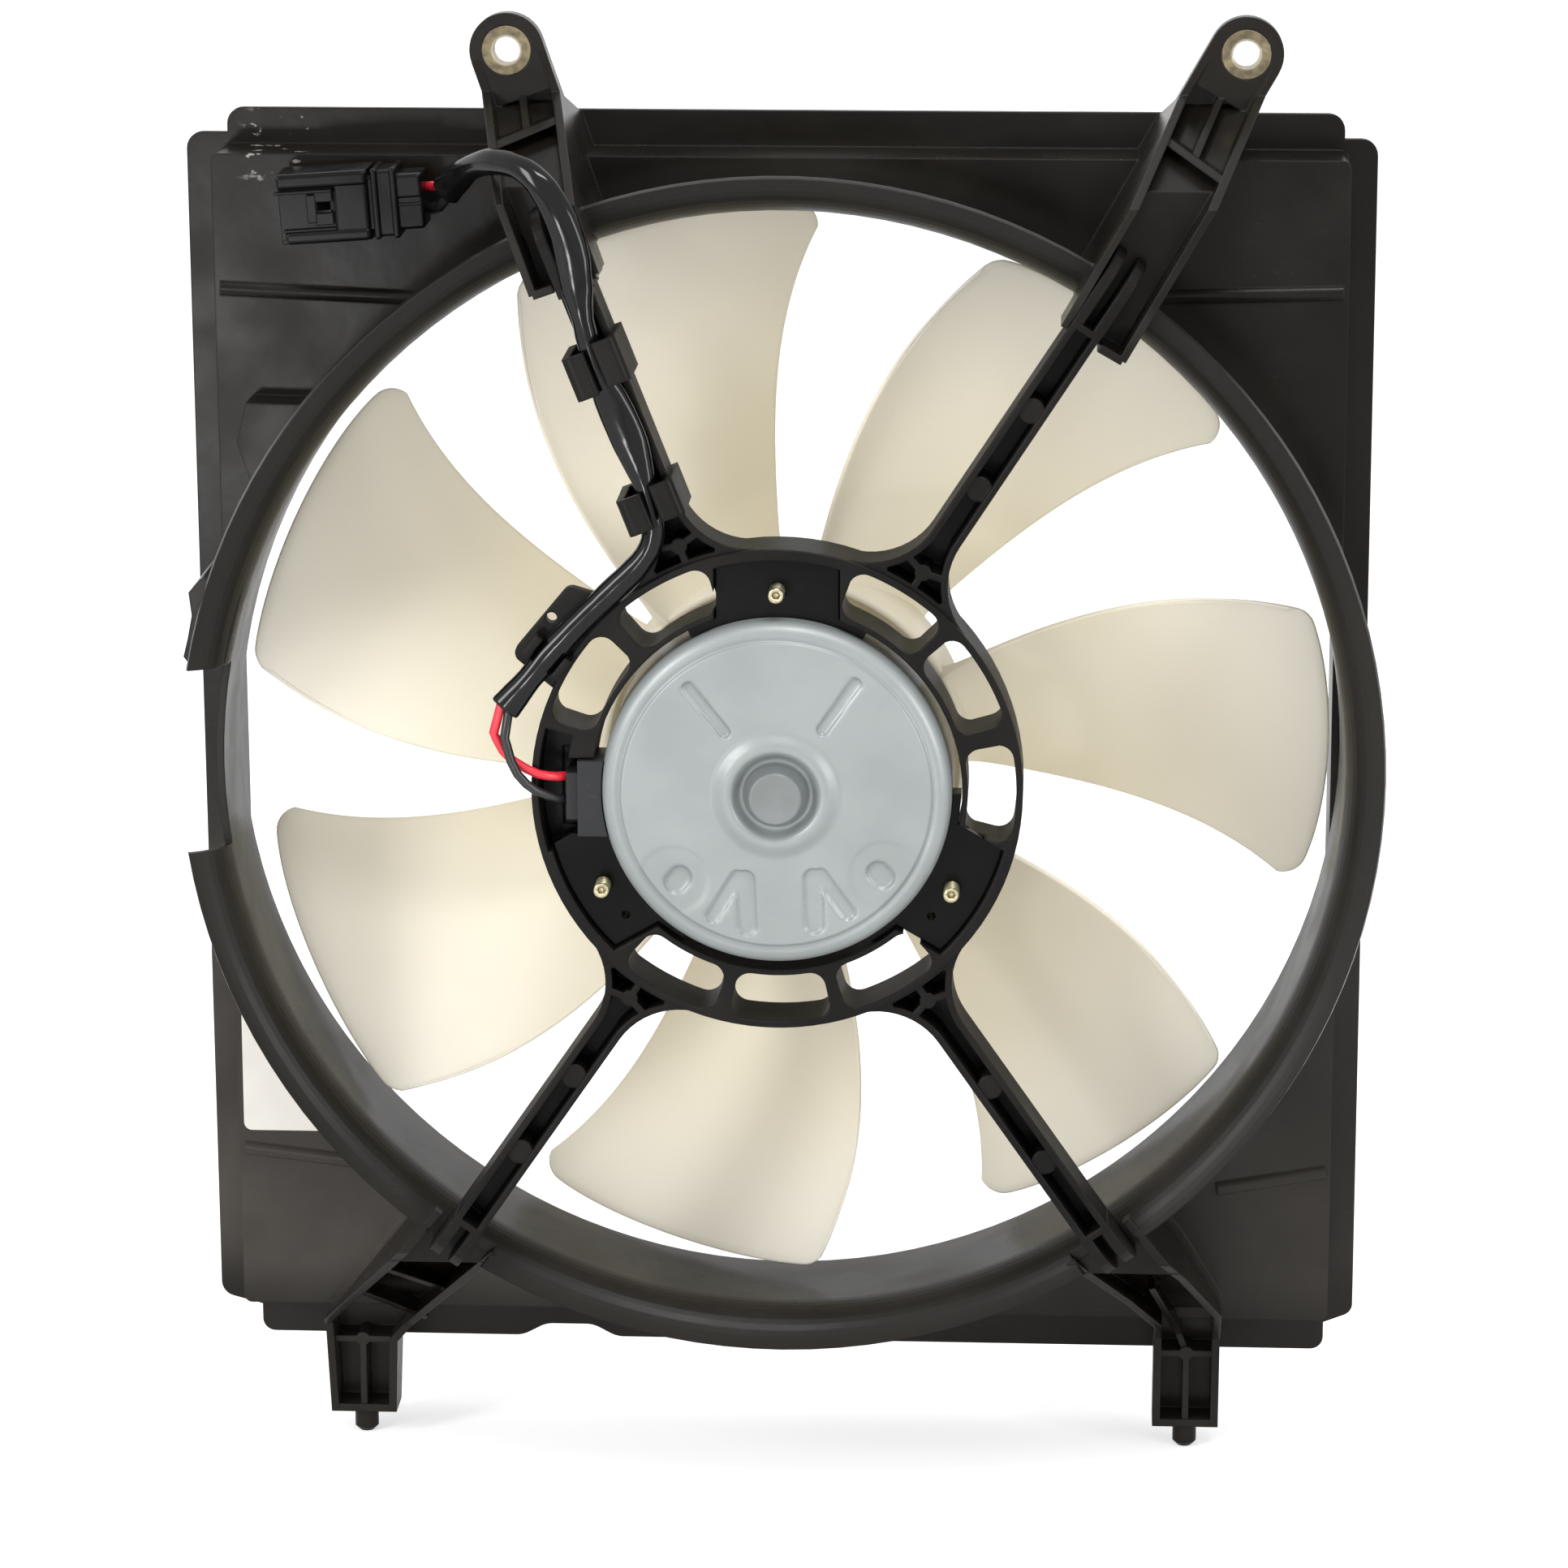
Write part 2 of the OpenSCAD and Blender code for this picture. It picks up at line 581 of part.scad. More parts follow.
// A hook stands on the side s of the arm at wall_y and its lip reaches over the sleeve to lip_y
module hook(r, len, s, wall_y, lip_y) {
    out_y = wall_y + hook_t;
    top = hook_top + hook_t;
    outline = [[arm_w / 2 - 1, hook_foot, 0], [out_y, hook_foot, 0], [out_y, top, 2.2], [lip_y, top, 1],
        [lip_y, hook_top, 0], [wall_y, hook_top, 0.8], [wall_y, hook_foot + 4, 0], [arm_w / 2 - 1, hook_foot + 4, 0]];
    rotate([0, 0, arm_angles[LEFT_ARM]]) translate([r, 0, 0]) rotate([90, 0, 90]) linear_extrude(len)
        polygon([for (p = rounded(outline)) [s * p[0], p[1]]]);
}
// Plate beside the stay's ring that carries the lead round its left side
module lead_plate() {
    corners = [[-2.3, 128, 0], [13.7, 135.3, 3], [15.4, 152.9, 3], [-2.2, 156, 0]];
    slab(arm_front - 4, arm_front) difference() {
        polygon(rounded([for (c = corners) concat(polar(stay_r + c[0], c[1]), c[2])]));
        translate(polar(stay_r + 11.1, 142.3)) circle(1.6);
    }
    translate(polar(stay_r + 5.9, 149)) rotate([0, 0, 51.4]) for (s = [-1, 1])
        translate([-plate_tab / 2, s * 5.4 - hook_t / 2, arm_front - 1]) cube([plate_tab, hook_t, hook_top - arm_front]);
}
module stay_ring() {
    difference() {
        disc(stay_r, stay_back, stay_front);
        for (a = vent_angles) rotate([0, 0, a])
            rounded_sector(stay_bore_r + 1.6, stay_r - stay_wall, vent_span, vent_corner, stay_back - 1, stay_front + 1);
        for (a = pocket_angles) rotate([0, 0, a]) {
            slab(pocket_floor, stay_front + 1) polygon(pocket_outline(0));
            translate([screw_circle_r, 0, 0]) disc(screw_d / 2 + 0.3, stay_back - 1, stay_front);
        }
        for (a = drain_angles) translate(polar(screw_circle_r, a)) disc(drain_r, stay_back - 1, stay_front);
        rotate([0, 0, 165]) translate([0, 0, stay_back + 5]) rotate_extrude(angle = 31)
            translate([stay_bore_r + 7.5, 0]) square([stay_width - stay_wall - 7.5, stay_front - stay_back]);
        translate([-can_r - grommet_out - 2.2, grommet_y[0] - 0.5, stay_back + 4])
            cube([14, grommet_y[1] - grommet_y[0] + 1, stay_front - stay_back]);
    }
}
module motor_stay() {
    color("#211f1c") on_axis() difference() {
        union() {
            stay_ring();
            difference() {
                union() {
                    for (i = [0 : len(arm_angles) - 1]) arm_solid(i);
                    lead_plate();
                    for (h = hooks) hook(h[0], h[1], h[2], h[3], h[4]);
                }
                disc(stay_r - 1, stay_back - 1, stay_front + 1);
                for (i = [0 : len(arm_angles) - 1]) arm_hollow(i);
            }
        }
        disc(stay_bore_r, stay_back - 1, stay_front + 1);
    }
}

// Motor can: deep-drawn cup with rounded edge, a raised ring and a bearing cup at its centre
cup_low = 1.2;
swell_r = 14.5;
swell_out_r = 18;
swell_h = 1.8;
function can_front(d) = [
    [0, can_face + cup_h - d], [cup_r - 1.4 - d / 2, can_face + cup_h - d],
    [cup_r - 0.8 - d, can_face + cup_h - 0.8 - d / 2], [cup_r + 1 - d, can_face - cup_low - d / 4],
    [cup_r + 2.6, can_face - cup_low - d], [swell_r - 1, can_face + swell_h - 0.4 - d], [swell_r, can_face + swell_h - d],
    [swell_out_r, can_face - d]];
module motor_can() {
    color("#bcc6c8") on_axis() difference() {
        rotate_extrude() polygon(concat(can_front(0),
            arc([can_r - can_edge_r, can_face - can_edge_r], can_edge_r, 90, 0),
            [[can_r, can_back], [can_r - can_t, can_back]],
            arc([can_r - can_edge_r, can_face - can_edge_r], can_edge_r - can_t, 0, 90), backwards(can_front(can_t))));
        for (s = [-1, 1], b = can_beads) bead_pressed([s * b[0], b[1]] * can_share, [s * b[2], b[3]] * can_share, b[4]);
    }
}
// The pressed figures of one half, as x, y of both ends and the half width, for a can of 51.5 radius
can_share = can_r / 51.5;
can_beads = [[25.4, 34, 14.2, 19, 1.8], [31, -26, 29.2, -24.8, 2.9], [10.4, -24.6, 19.4, -37, 1.7],
    [8.6, -24.4, 8.6, -40.6, 1.9]];
module bead_pressed(a, b, r) {
    depth = 0.7;
    heading = atan2(b[1] - a[1], b[0] - a[0]);
    slab(can_face - depth, can_face + 1)
        polygon(concat(arc(a, r, heading + 90, heading + 270), arc(b, r, heading - 90, heading + 90)));
}

// Bracket: three bands welded to the can, each with a tapped ear that lies in the stay's pocket
band_span = 58;
module motor_bracket() {
    color("#1c1b1a") on_axis() difference() {
        union() {
            for (a = pocket_angles) {
                rotate([0, 0, a - band_span / 2]) translate([0, 0, pocket_floor - 5]) rotate_extrude(angle = band_span)
                    translate([can_r + seat_gap, 0]) square([bracket_t - seat_gap, 5 + bracket_t]);
                rotate([0, 0, a]) slab(pocket_floor, pocket_floor + bracket_t) difference() {
                    polygon(pocket_outline(0.6));
                    circle(can_r + 1);
                }
            }
        }
        for (a = pocket_angles) rotate([0, 0, a]) translate([screw_circle_r, 0, 0])
            disc(screw_d / 2 + seat_gap, pocket_floor - 1, stay_front);
        for (a = drain_angles) translate(polar(screw_circle_r, a)) disc(drain_r, pocket_floor - 1, stay_front);
        translate([-deep, grommet_y[0] - 0.5, pocket_floor - 10])
            cube([deep - 20, grommet_y[1] - grommet_y[0] + 1, 30]);
    }
}

// Inside of the motor
bearing_r = 6.6;
rear_bearing_len = 4.6;
front_bearing_r = 11;
front_bearing_len = 7;
cover_t = 2.5;
cover_rear = can_back - cover_t;
boss_rear = cover_rear - front_bearing_len - 0.5;
magnet_t = 7;
air_gap = 0.8;
core_r = can_r - can_t - magnet_t - air_gap - 0.4;
core_z = [42, 58];
slot_count = 12;
slot_w = 4.4;
slot_in_r = 14;
slot_out_r = core_r - 3;
shaft_r = shaft_d / 2;
commutator_r = 11;
module front_cover() {
    color("#b5bcbd") on_axis() difference() {
        union() {
            disc(can_r, cover_rear, can_back);
            disc(can_r - can_t - seat_gap, can_back - eps, can_back + 1.5);
            disc(front_bearing_r + 2.4, boss_rear, can_back);
        }
        disc(can_r - can_t - 3, can_back, can_back + 2);
        disc(front_bearing_r, boss_rear + 1.4, can_back + 2);
        disc(front_bearing_r - 3, boss_rear - 1, can_back);
        for (a = [0 : 60 : 300]) rotate([0, 0, a + 30]) translate([33, 0, 0]) disc(4, cover_rear - 1, can_back + 2);
    }
}
module field_magnets() {
    color("#3b3a3c") on_axis() for (a = [0, 180]) rotate([0, 0, a - 62]) translate([0, 0, core_z[0] - 3])
        rotate_extrude(angle = 124) translate([can_r - can_t - magnet_t, 0])
            square([magnet_t - seat_gap, core_z[1] - core_z[0] + 6]);
}
rear_bearing_z = can_face + cup_h - can_t - 0.4;
module rear_bearing() {
    color("#9a7a45") on_axis() difference() {
        intersection() {
            disc(cup_r - 0.8 - can_t - seat_gap, rear_bearing_z - rear_bearing_len, rear_bearing_z);
            translate([0, 0, rear_bearing_z - rear_bearing_len / 2]) sphere(r = bearing_r - 0.3);
        }
        disc(shaft_r + running_gap, rear_bearing_z - rear_bearing_len - 1, rear_bearing_z + 1);
    }
}
module front_bearing() {
    front_z = boss_rear + 1.4 + front_bearing_len;
    color("#9fa4a6") on_axis() difference() {
        disc(front_bearing_r - seat_gap, boss_rear + 1.4, front_z);
        disc(shaft_r + running_gap, boss_rear, front_z + 1);
        for (z = [boss_rear + 1.4 - 1, front_z - 0.6]) ring_solid(front_bearing_r - 2.4, shaft_r + 2.2, z, z + 1.6);
    }
}

// Brush gear beside the front cover
card_z = [30.2, 32];
brush_w = 6;
brush_h = 3.4;
brush_len = 11;
brush_mid = card_z[1] + 2.4;
spring_gap = 9;
module brush_card() {
    color("#6b4a2c") on_axis() {
        ring_solid(can_r - can_t - seat_gap - 3.2, commutator_r + 3, card_z[0], card_z[1]);
        for (s = [-1, 1]) difference() {
            translate([s > 0 ? commutator_r + 3.2 : -commutator_r - 3.2 - brush_len - spring_gap, -brush_w / 2 - 1.2,
                card_z[1] - eps]) cube([brush_len + spring_gap, brush_w + 2.4, 2 * (brush_mid - card_z[1])]);
            translate([s > 0 ? commutator_r : -commutator_r - brush_len - spring_gap - 1, -brush_w / 2 - seat_gap,
                brush_mid - brush_h / 2 - seat_gap])
                cube([brush_len + spring_gap + 1, brush_w + 2 * seat_gap, brush_h + 2 * seat_gap + 3]);
        }
    }
}
module brushes() {
    color("#2c2c2e") on_axis() for (s = [-1, 1]) difference() {
        translate([s > 0 ? commutator_r - 0.6 : -commutator_r - brush_len + 0.6, -brush_w / 2, brush_mid - brush_h / 2])
            cube([brush_len, brush_w, brush_h]);
        disc(commutator_r + 0.1, card_z[0], stay_front);
    }
}
// Coil springs behind the brushes, each a wire swept along a helix
spring_turns = 4;
spring_r = 1.3;
spring_wire_r = 0.3;
spring_steps = 10;
function helix(len) = [for (k = [0 : spring_turns * spring_steps]) let (a = 360 * k / spring_steps)
    [len * k / (spring_turns * spring_steps), spring_r * cos(a), spring_r * sin(a)]];
module brush_springs() {
    color("#a8abad") on_axis() for (s = [-1, 1])
        translate([s * (commutator_r - 0.6 + brush_len + spring_wire_r + 0.1), 0, brush_mid])
            rotate([0, 0, s > 0 ? 0 : 180]) tube(helix(spring_gap - 2), spring_wire_r, 5);
}

// Rotor
shaft_front = rear_bearing_z - 0.6;
insert_z = [-18.5, 4];
nut_h = 5.5;
nut_r = shaft_r + 3.5;
washer_t = 1.6;
washer_r = shaft_r + 5;
shaft_tail = insert_z[0] - washer_t - nut_h - 0.8;
module armature_shaft() {
    color("#a9adae") on_axis() difference() {
        union() {
            disc(shaft_r, shaft_tail + 0.8, shaft_front);
            translate([0, 0, shaft_tail]) cylinder(r1 = shaft_r - 0.8, r2 = shaft_r, h = 0.8);
        }
        translate([shaft_r - 1, -shaft_d, shaft_tail - 1]) cube([shaft_d, 2 * shaft_d, insert_z[1] - shaft_tail + 1]);
    }
}
module core_slots(w, r0, r1, z0, z1) {
    for (k = [0 : slot_count - 1]) rotate([0, 0, k * 360 / slot_count]) translate([r0, -w / 2, z0])
        cube([r1 - r0, w, z1 - z0]);
}
module armature_core() {
    color("#77797b") on_axis() difference() {
        disc(core_r, core_z[0], core_z[1]);
        core_slots(slot_w, slot_in_r, slot_out_r, core_z[0] - 1, core_z[1] + 1);
        core_slots(1.6, slot_in_r, core_r + 1, core_z[0] - 1, core_z[1] + 1);
        disc(shaft_r + seat_gap, core_z[0] - 1, core_z[1] + 1);
    }
}
module armature_windings() {
    end_in = slot_in_r - 3;
    end_h = 4.2;
    color("#9c4b1e") on_axis() {
        core_slots(slot_w - 0.2, slot_in_r + 0.1, slot_out_r - 0.1, core_z[0] - 0.2, core_z[1] + 0.2);
        for (z = [core_z[0] - end_h, core_z[1] + 0.1]) ring_solid(slot_out_r - 0.5, end_in + 2, z, z + end_h - 0.1);
    }
}
module commutator() {
    color("#b0703c") on_axis() difference() {
        disc(commutator_r, card_z[0] + 0.6, core_z[0] - 0.1);
        disc(shaft_r + seat_gap, card_z[0] - 1, core_z[0] + 1);
        for (k = [0 : slot_count - 1]) rotate([0, 0, (k + 0.5) * 360 / slot_count])
            translate([commutator_r - 1, -0.3, card_z[0]]) cube([2, 0.6, core_z[0] - card_z[0]]);
    }
}
module thrust_washers() {
    rear_z = rear_bearing_z - rear_bearing_len;
    front_z = boss_rear + 1.4 + front_bearing_len;
    color("#c9c3a6") on_axis() for (z = [rear_z - 1.4, front_z + 0.4])
        ring_solid(shaft_r + 2.4, shaft_r + seat_gap, z, z + 1);
}

// Fan: cup-shaped hub with ribs, and blades lofted from hub to tip
hub_back = 16;
rib_t = 1.8;
hub_boss_r = 12;
insert_r = 8;
span_steps = 12;
chord_steps = 12;
lead_edge = 42;
trail_edge = 81;
lead_sweep = [6.5, 2.6];
trail_sweep = [3.5, 9];
tip_front_drop = 5;
tip_back_drop = 4;
camber = 4;
tip_corners = [2.5, 1.5];
function blade_angle(f, t) =
    let (lead = lead_edge - lead_sweep[0] * pow(f, lead_sweep[1]))
    let (trail = trail_edge - trail_sweep[0] * f - trail_sweep[1] * f * f)
    lead + (trail - lead) * t;
function blade_z(f, t) =
    let (z0 = -blade_back + tip_back_drop * f, z1 = blade_front - tip_front_drop * f)
    z0 + (z1 - z0) * t - camber * 4 * t * (1 - t);
function blade_tip(t) = fan_r - tip_corners[0] * pow(1 - t, 9) - tip_corners[1] * pow(t, 9)
    - round_drop(t * tip_chord) - round_drop((1 - t) * tip_chord);
blade_root_r = hub_r - hub_wall / 2;
// Chord steps lie closer together at the blade's edges, where its tip is rounded
tip_chord = 88;
tip_round = 6;
function chord_t(i) = (1 - cos(180 * i / chord_steps)) / 2;
function round_drop(x) = x < tip_round ? tip_round - sqrt(tip_round * tip_round - pow(tip_round - x, 2)) : 0;
function blade_mid(f, t) =
    let (p = polar(blade_root_r + f * (blade_tip(t) - blade_root_r), blade_angle(f, t)))
    [p[0], p[1], blade_z(f, t)];
function blade_normal(f, t) =
    let (d = 0.01, f0 = min(f, 1 - d), t0 = min(t, 1 - d))
    unit(cross(blade_mid(f0 + d, t0) - blade_mid(f0, t0), blade_mid(f0, t0 + d) - blade_mid(f0, t0)));
function blade_t(f, t) = (blade_root_t + (blade_tip_t - blade_root_t) * f) * (0.45 + 0.55 * sin(180 * t)) / 2;
function blade_row(f) = concat(
    [for (i = [0 : chord_steps]) let (t = chord_t(i)) blade_mid(f, t) + blade_normal(f, t) * blade_t(f, t)],
    [for (i = [chord_steps : -1 : 0]) let (t = chord_t(i)) blade_mid(f, t) - blade_normal(f, t) * blade_t(f, t)]);
module blade() {
    m = 2 * (chord_steps + 1);
    rows = [for (j = [0 : span_steps]) each blade_row(j / span_steps)];
    last = span_steps * m;
    polyhedron(rows, concat(
        [for (j = [0 : span_steps - 1], k = [0 : m - 1]) let (n = (k + 1) % m)
            each [[j * m + k, j * m + n, (j + 1) * m + n], [j * m + k, (j + 1) * m + n, (j + 1) * m + k]]],
        [for (i = [0 : chord_steps - 1]) let (a = i, b = i + 1, c = m - 2 - i, d = m - 1 - i)
            each [[a, c, b], [a, d, c], [last + a, last + b, last + c], [last + a, last + c, last + d]]]));
}
module fan() {
    color("#e8e3d0") on_axis() {
        difference() {
            union() {
                difference() {
                    disc(hub_r, -hub_back, blade_front);
                    disc(hub_r - hub_wall, -hub_back + hub_wall, blade_front + 1);
                }
                disc(hub_boss_r, insert_z[0] + 2, insert_z[1] - 1);
                for (k = [0 : blade_count - 1]) rotate([0, 0, k * 360 / blade_count])
                    translate([insert_r, -rib_t / 2, -hub_back]) cube([hub_r - insert_r - 1, rib_t, 14]);
            }
            disc(insert_r, -deep, deep);
        }
        for (k = [0 : blade_count - 1]) rotate([0, 0, k * 360 / blade_count]) blade();
    }
}
module hub_insert() {
    color("#8f9294") on_axis() difference() {
        disc(insert_r - seat_gap, insert_z[0], insert_z[1]);
        intersection() {
            disc(shaft_r + seat_gap, insert_z[0] - 1, insert_z[1] + 1);
            translate([-shaft_d, -shaft_d, insert_z[0] - 2])
                cube([shaft_d + shaft_r - 1 + seat_gap, 2 * shaft_d, insert_z[1] - insert_z[0] + 4]);
        }
    }
}
module fan_washer() {
    z = insert_z[0] - washer_t;
    color("#b9b48c") on_axis() ring_solid(washer_r, shaft_r + 0.2, z, z + washer_t);
}
module fan_nut() {
    z = insert_z[0] - washer_t - nut_h;
    color("#b9b48c") on_axis() difference() {
        translate([0, 0, z]) cylinder(r = nut_r, h = nut_h, $fn = 6);
        disc(shaft_r + seat_gap, z - 1, z + nut_h + 1);
    }
}

// Screws through the stay into the bracket's ears, with their heads on the fan side
screw_head_h = 3.6;
screw_end = 68.5;
module motor_screws() {
    color("#c2a94e") on_axis() for (a = pocket_angles) rotate([0, 0, a]) translate([screw_circle_r, 0, 0])
        difference() {
            union() {
                disc(screw_d / 2, stay_back - 1, screw_end);
                disc(screw_d, stay_back - 1, stay_back);
                translate([0, 0, stay_back - 1 - screw_head_h]) cylinder(r = screw_d * 0.9, h = screw_head_h, $fn = 6);
            }
            disc(screw_d / 4, screw_end - 2, screw_end + 1);
        }
}

// Grommet where the two wires enter the motor
grommet_y = [-13.9, 8.8];
grommet_out = 10.5;
module lead_grommet() {
    color("#1d1b1a") on_axis() difference() {
        union() {
            translate([-can_r - 7, grommet_y[0], stay_back + 4]) cube([9, grommet_y[1] - grommet_y[0], 18]);
            translate([-can_r - grommet_out, -9.3, stay_back + 6]) cube([4, 14, 14]);
        }
        disc(can_r + seat_gap, 0, can_face + 1);
    }
}

// Route of the lead: through the hooks on the left arm, over the leg and down to the connector
ring_run = [[11, 162.8], [6.9, 153.8], [5.1, 144.6], [4.3, 130.8], [6.3, 120.2], [11.4, 114.7]];
sleeve_points = concat([for (q = ring_run) concat(polar(stay_r + q[0], q[1]), lead_w)], [
    [-36.6, 87, 66], [-40.5, 99.5, 66], [-44.8, 110, 66], [-53.4, 129, 66.1], [-56.8, 146, 66.8], [-59, 163, 67.2],
    [-65.4, 176.4, 66.4], [-73, 183, 62], [-82.6, 183.6, 53.2], [-90.6, 180, 42], [-95.5, 175, 30], [-99.5, 170.5, 22]]);
red_tail = [[-can_r - grommet_out, 3, 60], [-can_r - 14.5, 3.6, 64], [0.9 - stay_r, 5.1, 66],
    [-7.2 - stay_r, 9.9, 65.4], [-10.7 - stay_r, 17, 65.8]];
black_tail = [[-can_r - grommet_out, -4.2, 60], [-can_r - 14.5, -2.4, 65], [0.3 - stay_r, 1, 68.6],
    [-4.7 - stay_r, 7, 69.4], [-7.3 - stay_r, 16, 67.5]];
red_head = [[-103, 170.7, 14], [-104.6, 170.6, 12.4], [-106.8, 170.4, 12]];
black_head = [[-102.6, 164.4, 14], [-104.2, 164.2, 12.4], [-106.4, 164, 12]];
function chaikin(p) = concat([p[0]],
    [for (i = [0 : len(p) - 2]) each [0.75 * p[i] + 0.25 * p[i + 1], 0.25 * p[i] + 0.75 * p[i + 1]]], [p[len(p) - 1]]);
function tangent(p, i) = unit(p[min(i + 1, len(p) - 1)] - p[max(i - 1, 0)]);
function sideways(p, i) = unit(cross(tangent(p, i), [0, 0.05, 1]));
// The two wires lie side by side in the sleeve and turn half round each other along it
function beside(p, d) = [for (i = [0 : len(p) - 1])
    let (s = sideways(p, i), a = 180 * i / (len(p) - 1)) p[i] + d * (cos(a) * s + sin(a) * cross(s, tangent(p, i)))];
function rings(p, r, sides) = [for (i = [0 : len(p) - 1])
    let (s = sideways(p, i), u = cross(s, tangent(p, i)))
    each [for (k = [0 : sides - 1]) p[i] + r * (cos(360 * k / sides) * s + sin(360 * k / sides) * u)]];
module tube(p, r, sides) {
    n = len(p);
    polyhedron(rings(p, r, sides), concat([[for (k = [sides - 1 : -1 : 0]) k]],
        [for (i = [0 : n - 2], k = [0 : sides - 1]) let (m = (k + 1) % sides)
            each [[i * sides + k, i * sides + m, (i + 1) * sides + m],
            [i * sides + k, (i + 1) * sides + m, (i + 1) * sides + k]]],
        [[for (k = [0 : sides - 1]) (n - 1) * sides + k]]));
}
route = chaikin(sleeve_points);
wire_gap = wire_d / 2 + 0.06;
module lead_sleeve() {
    color("#1b1a1c") on_axis() difference() {
        tube(route, sleeve_d / 2, 12);
        tube(concat([route[0] - tangent(route, 0)], route, [route[len(route) - 1] + tangent(route, len(route) - 1)]),
            wire_d + 0.25, 12);
    }
}
module red_lead() {
    color("#dc3241") on_axis() tube(concat(chaikin(red_tail), beside(route, -wire_gap), red_head), wire_d / 2, 8);
}
module black_lead() {
    color("#222022") on_axis() tube(concat(chaikin(black_tail), beside(route, wire_gap), black_head), wire_d / 2, 8);
}

// Connector: a two-way socket on a pedestal, open to the left
socket_depth = 15;
connector_mid = pedestal_top + connector_d / 2;
rear_len = 16;
module in_connector() { on_axis() translate([connector_at[0], connector_at[1], connector_mid]) rotate([0, 0, connector_tilt]) children(); }
module block(x0, x1, h, d) { translate([x0, -h / 2, -d / 2]) cube([x1 - x0, h, d]); }
socket_x0 = -22;
socket_x1 = socket_x0 + connector_len;
module connector_housing() {
    color("#232122") in_connector() difference() {
        union() {
            block(socket_x0, socket_x1, connector_h, connector_d);
            block(socket_x1 - 1, socket_x1 + rear_len, connector_h - 4.5, connector_d - 4);
            translate([socket_x0 - 1, connector_h / 2 - 6.5, connector_d / 2 - eps]) cube([connector_len, 1.6, 1.8]);
            translate([socket_x0, -connector_h / 2 + 4, connector_d / 2 - eps]) cube([connector_len, 1.6, 1.8]);
            translate([socket_x0 + 10, -4.6, connector_d / 2 - eps]) cube([3, 9.4, 1.4]);
        }
        translate([socket_x0 - 1, -connector_h / 2 + connector_wall, -connector_d / 2 + connector_wall])
            cube([socket_depth + 1, connector_h - 2 * connector_wall, connector_d - 2 * connector_wall]);
        for (s = [-1, 1]) translate([socket_x0 + socket_depth - 1, s * 3.2 - 1.9, -1.9])
            cube([connector_len + rear_len, 3.8, 3.8]);
        translate([socket_x0 + 12, -3, connector_d / 2 - connector_wall - 1]) cube([6, 6, 6]);
    }
}
module connector_retainer() {
    color("#2b2a2b") in_connector() difference() {
        block(socket_x1 + 1, socket_x1 + 8.4, connector_h, connector_d);
        block(socket_x1, socket_x1 + 9, connector_h - 4.5 + 2 * seat_gap, connector_d - 4 + 2 * seat_gap);
    }
}
module connector_terminals() {
    color("#c9b26a") in_connector() for (s = [-1, 1]) {
        block_at = s * 3.2;
        translate([socket_x0 + 4, block_at - 1.2, -0.4]) cube([socket_depth, 2.4, 0.8]);
        translate([socket_x0 + socket_depth + 1, block_at - 1.6, -1.6]) cube([14, 3.2, 3.2]);
    }
}
module connector_seals() {
    color("#b9552f") in_connector() for (s = [-1, 1])
        translate([socket_x1 + rear_len - 7, s * 3.2, 0]) rotate([0, 90, 0]) cylinder(r = 1.85, h = 6);
}

shroud();
left_collar();
right_collar();
motor_stay();
motor_can();
motor_bracket();
front_cover();
field_magnets();
rear_bearing();
front_bearing();
brush_card();
brushes();
brush_springs();
motor_screws();
lead_grommet();
red_lead();
black_lead();
lead_sleeve();
connector_housing();
connector_retainer();
connector_terminals();
connector_seals();
armature_shaft();
armature_core();
armature_windings();
commutator();
thrust_washers();
fan();
hub_insert();
fan_nut();
fan_washer();
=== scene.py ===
# %% [markdown]
# # A radiator fan in Blender
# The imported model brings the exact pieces, each of which rides on the housing or on the rotor. This script
# gives them their finishes, and makes the pieces whose form needs finer work than the drawing: the stamped
# can, the moulded blades, the threaded screws, the connector and the lead. Lengths are millimetres about the
# fan's axis until the last moment: u runs to the right, v up and w toward the motor side.

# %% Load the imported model
import math

import bpy
import numpy as np
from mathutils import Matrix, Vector


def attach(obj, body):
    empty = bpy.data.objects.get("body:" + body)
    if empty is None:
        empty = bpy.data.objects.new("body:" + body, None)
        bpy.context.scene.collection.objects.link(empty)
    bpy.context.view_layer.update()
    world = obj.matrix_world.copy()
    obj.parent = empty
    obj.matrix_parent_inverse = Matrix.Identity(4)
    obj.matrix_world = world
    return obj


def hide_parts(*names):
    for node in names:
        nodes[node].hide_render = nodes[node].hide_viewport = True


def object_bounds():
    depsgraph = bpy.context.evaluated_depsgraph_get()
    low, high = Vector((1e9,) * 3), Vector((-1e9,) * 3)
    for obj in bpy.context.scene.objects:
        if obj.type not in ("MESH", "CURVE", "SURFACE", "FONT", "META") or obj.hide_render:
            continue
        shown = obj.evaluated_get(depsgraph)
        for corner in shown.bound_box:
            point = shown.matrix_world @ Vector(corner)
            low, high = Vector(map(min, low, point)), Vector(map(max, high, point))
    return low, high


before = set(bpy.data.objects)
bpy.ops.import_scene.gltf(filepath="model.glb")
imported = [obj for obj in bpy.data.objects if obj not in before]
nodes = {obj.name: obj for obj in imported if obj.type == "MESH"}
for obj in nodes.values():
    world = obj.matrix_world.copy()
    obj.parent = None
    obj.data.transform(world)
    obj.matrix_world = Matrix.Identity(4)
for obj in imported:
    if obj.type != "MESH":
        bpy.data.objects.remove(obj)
cad_box = [list(corner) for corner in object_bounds()]
scene = bpy.context.scene
print("nodes", len(nodes), "box", cad_box)

# %% [markdown]
# The fan's axis lies 26 mm left of the middle between the bolts and 210 mm below them. One function turns a
# place about the axis into metres in the model's frame, so that no other line has to think about it.

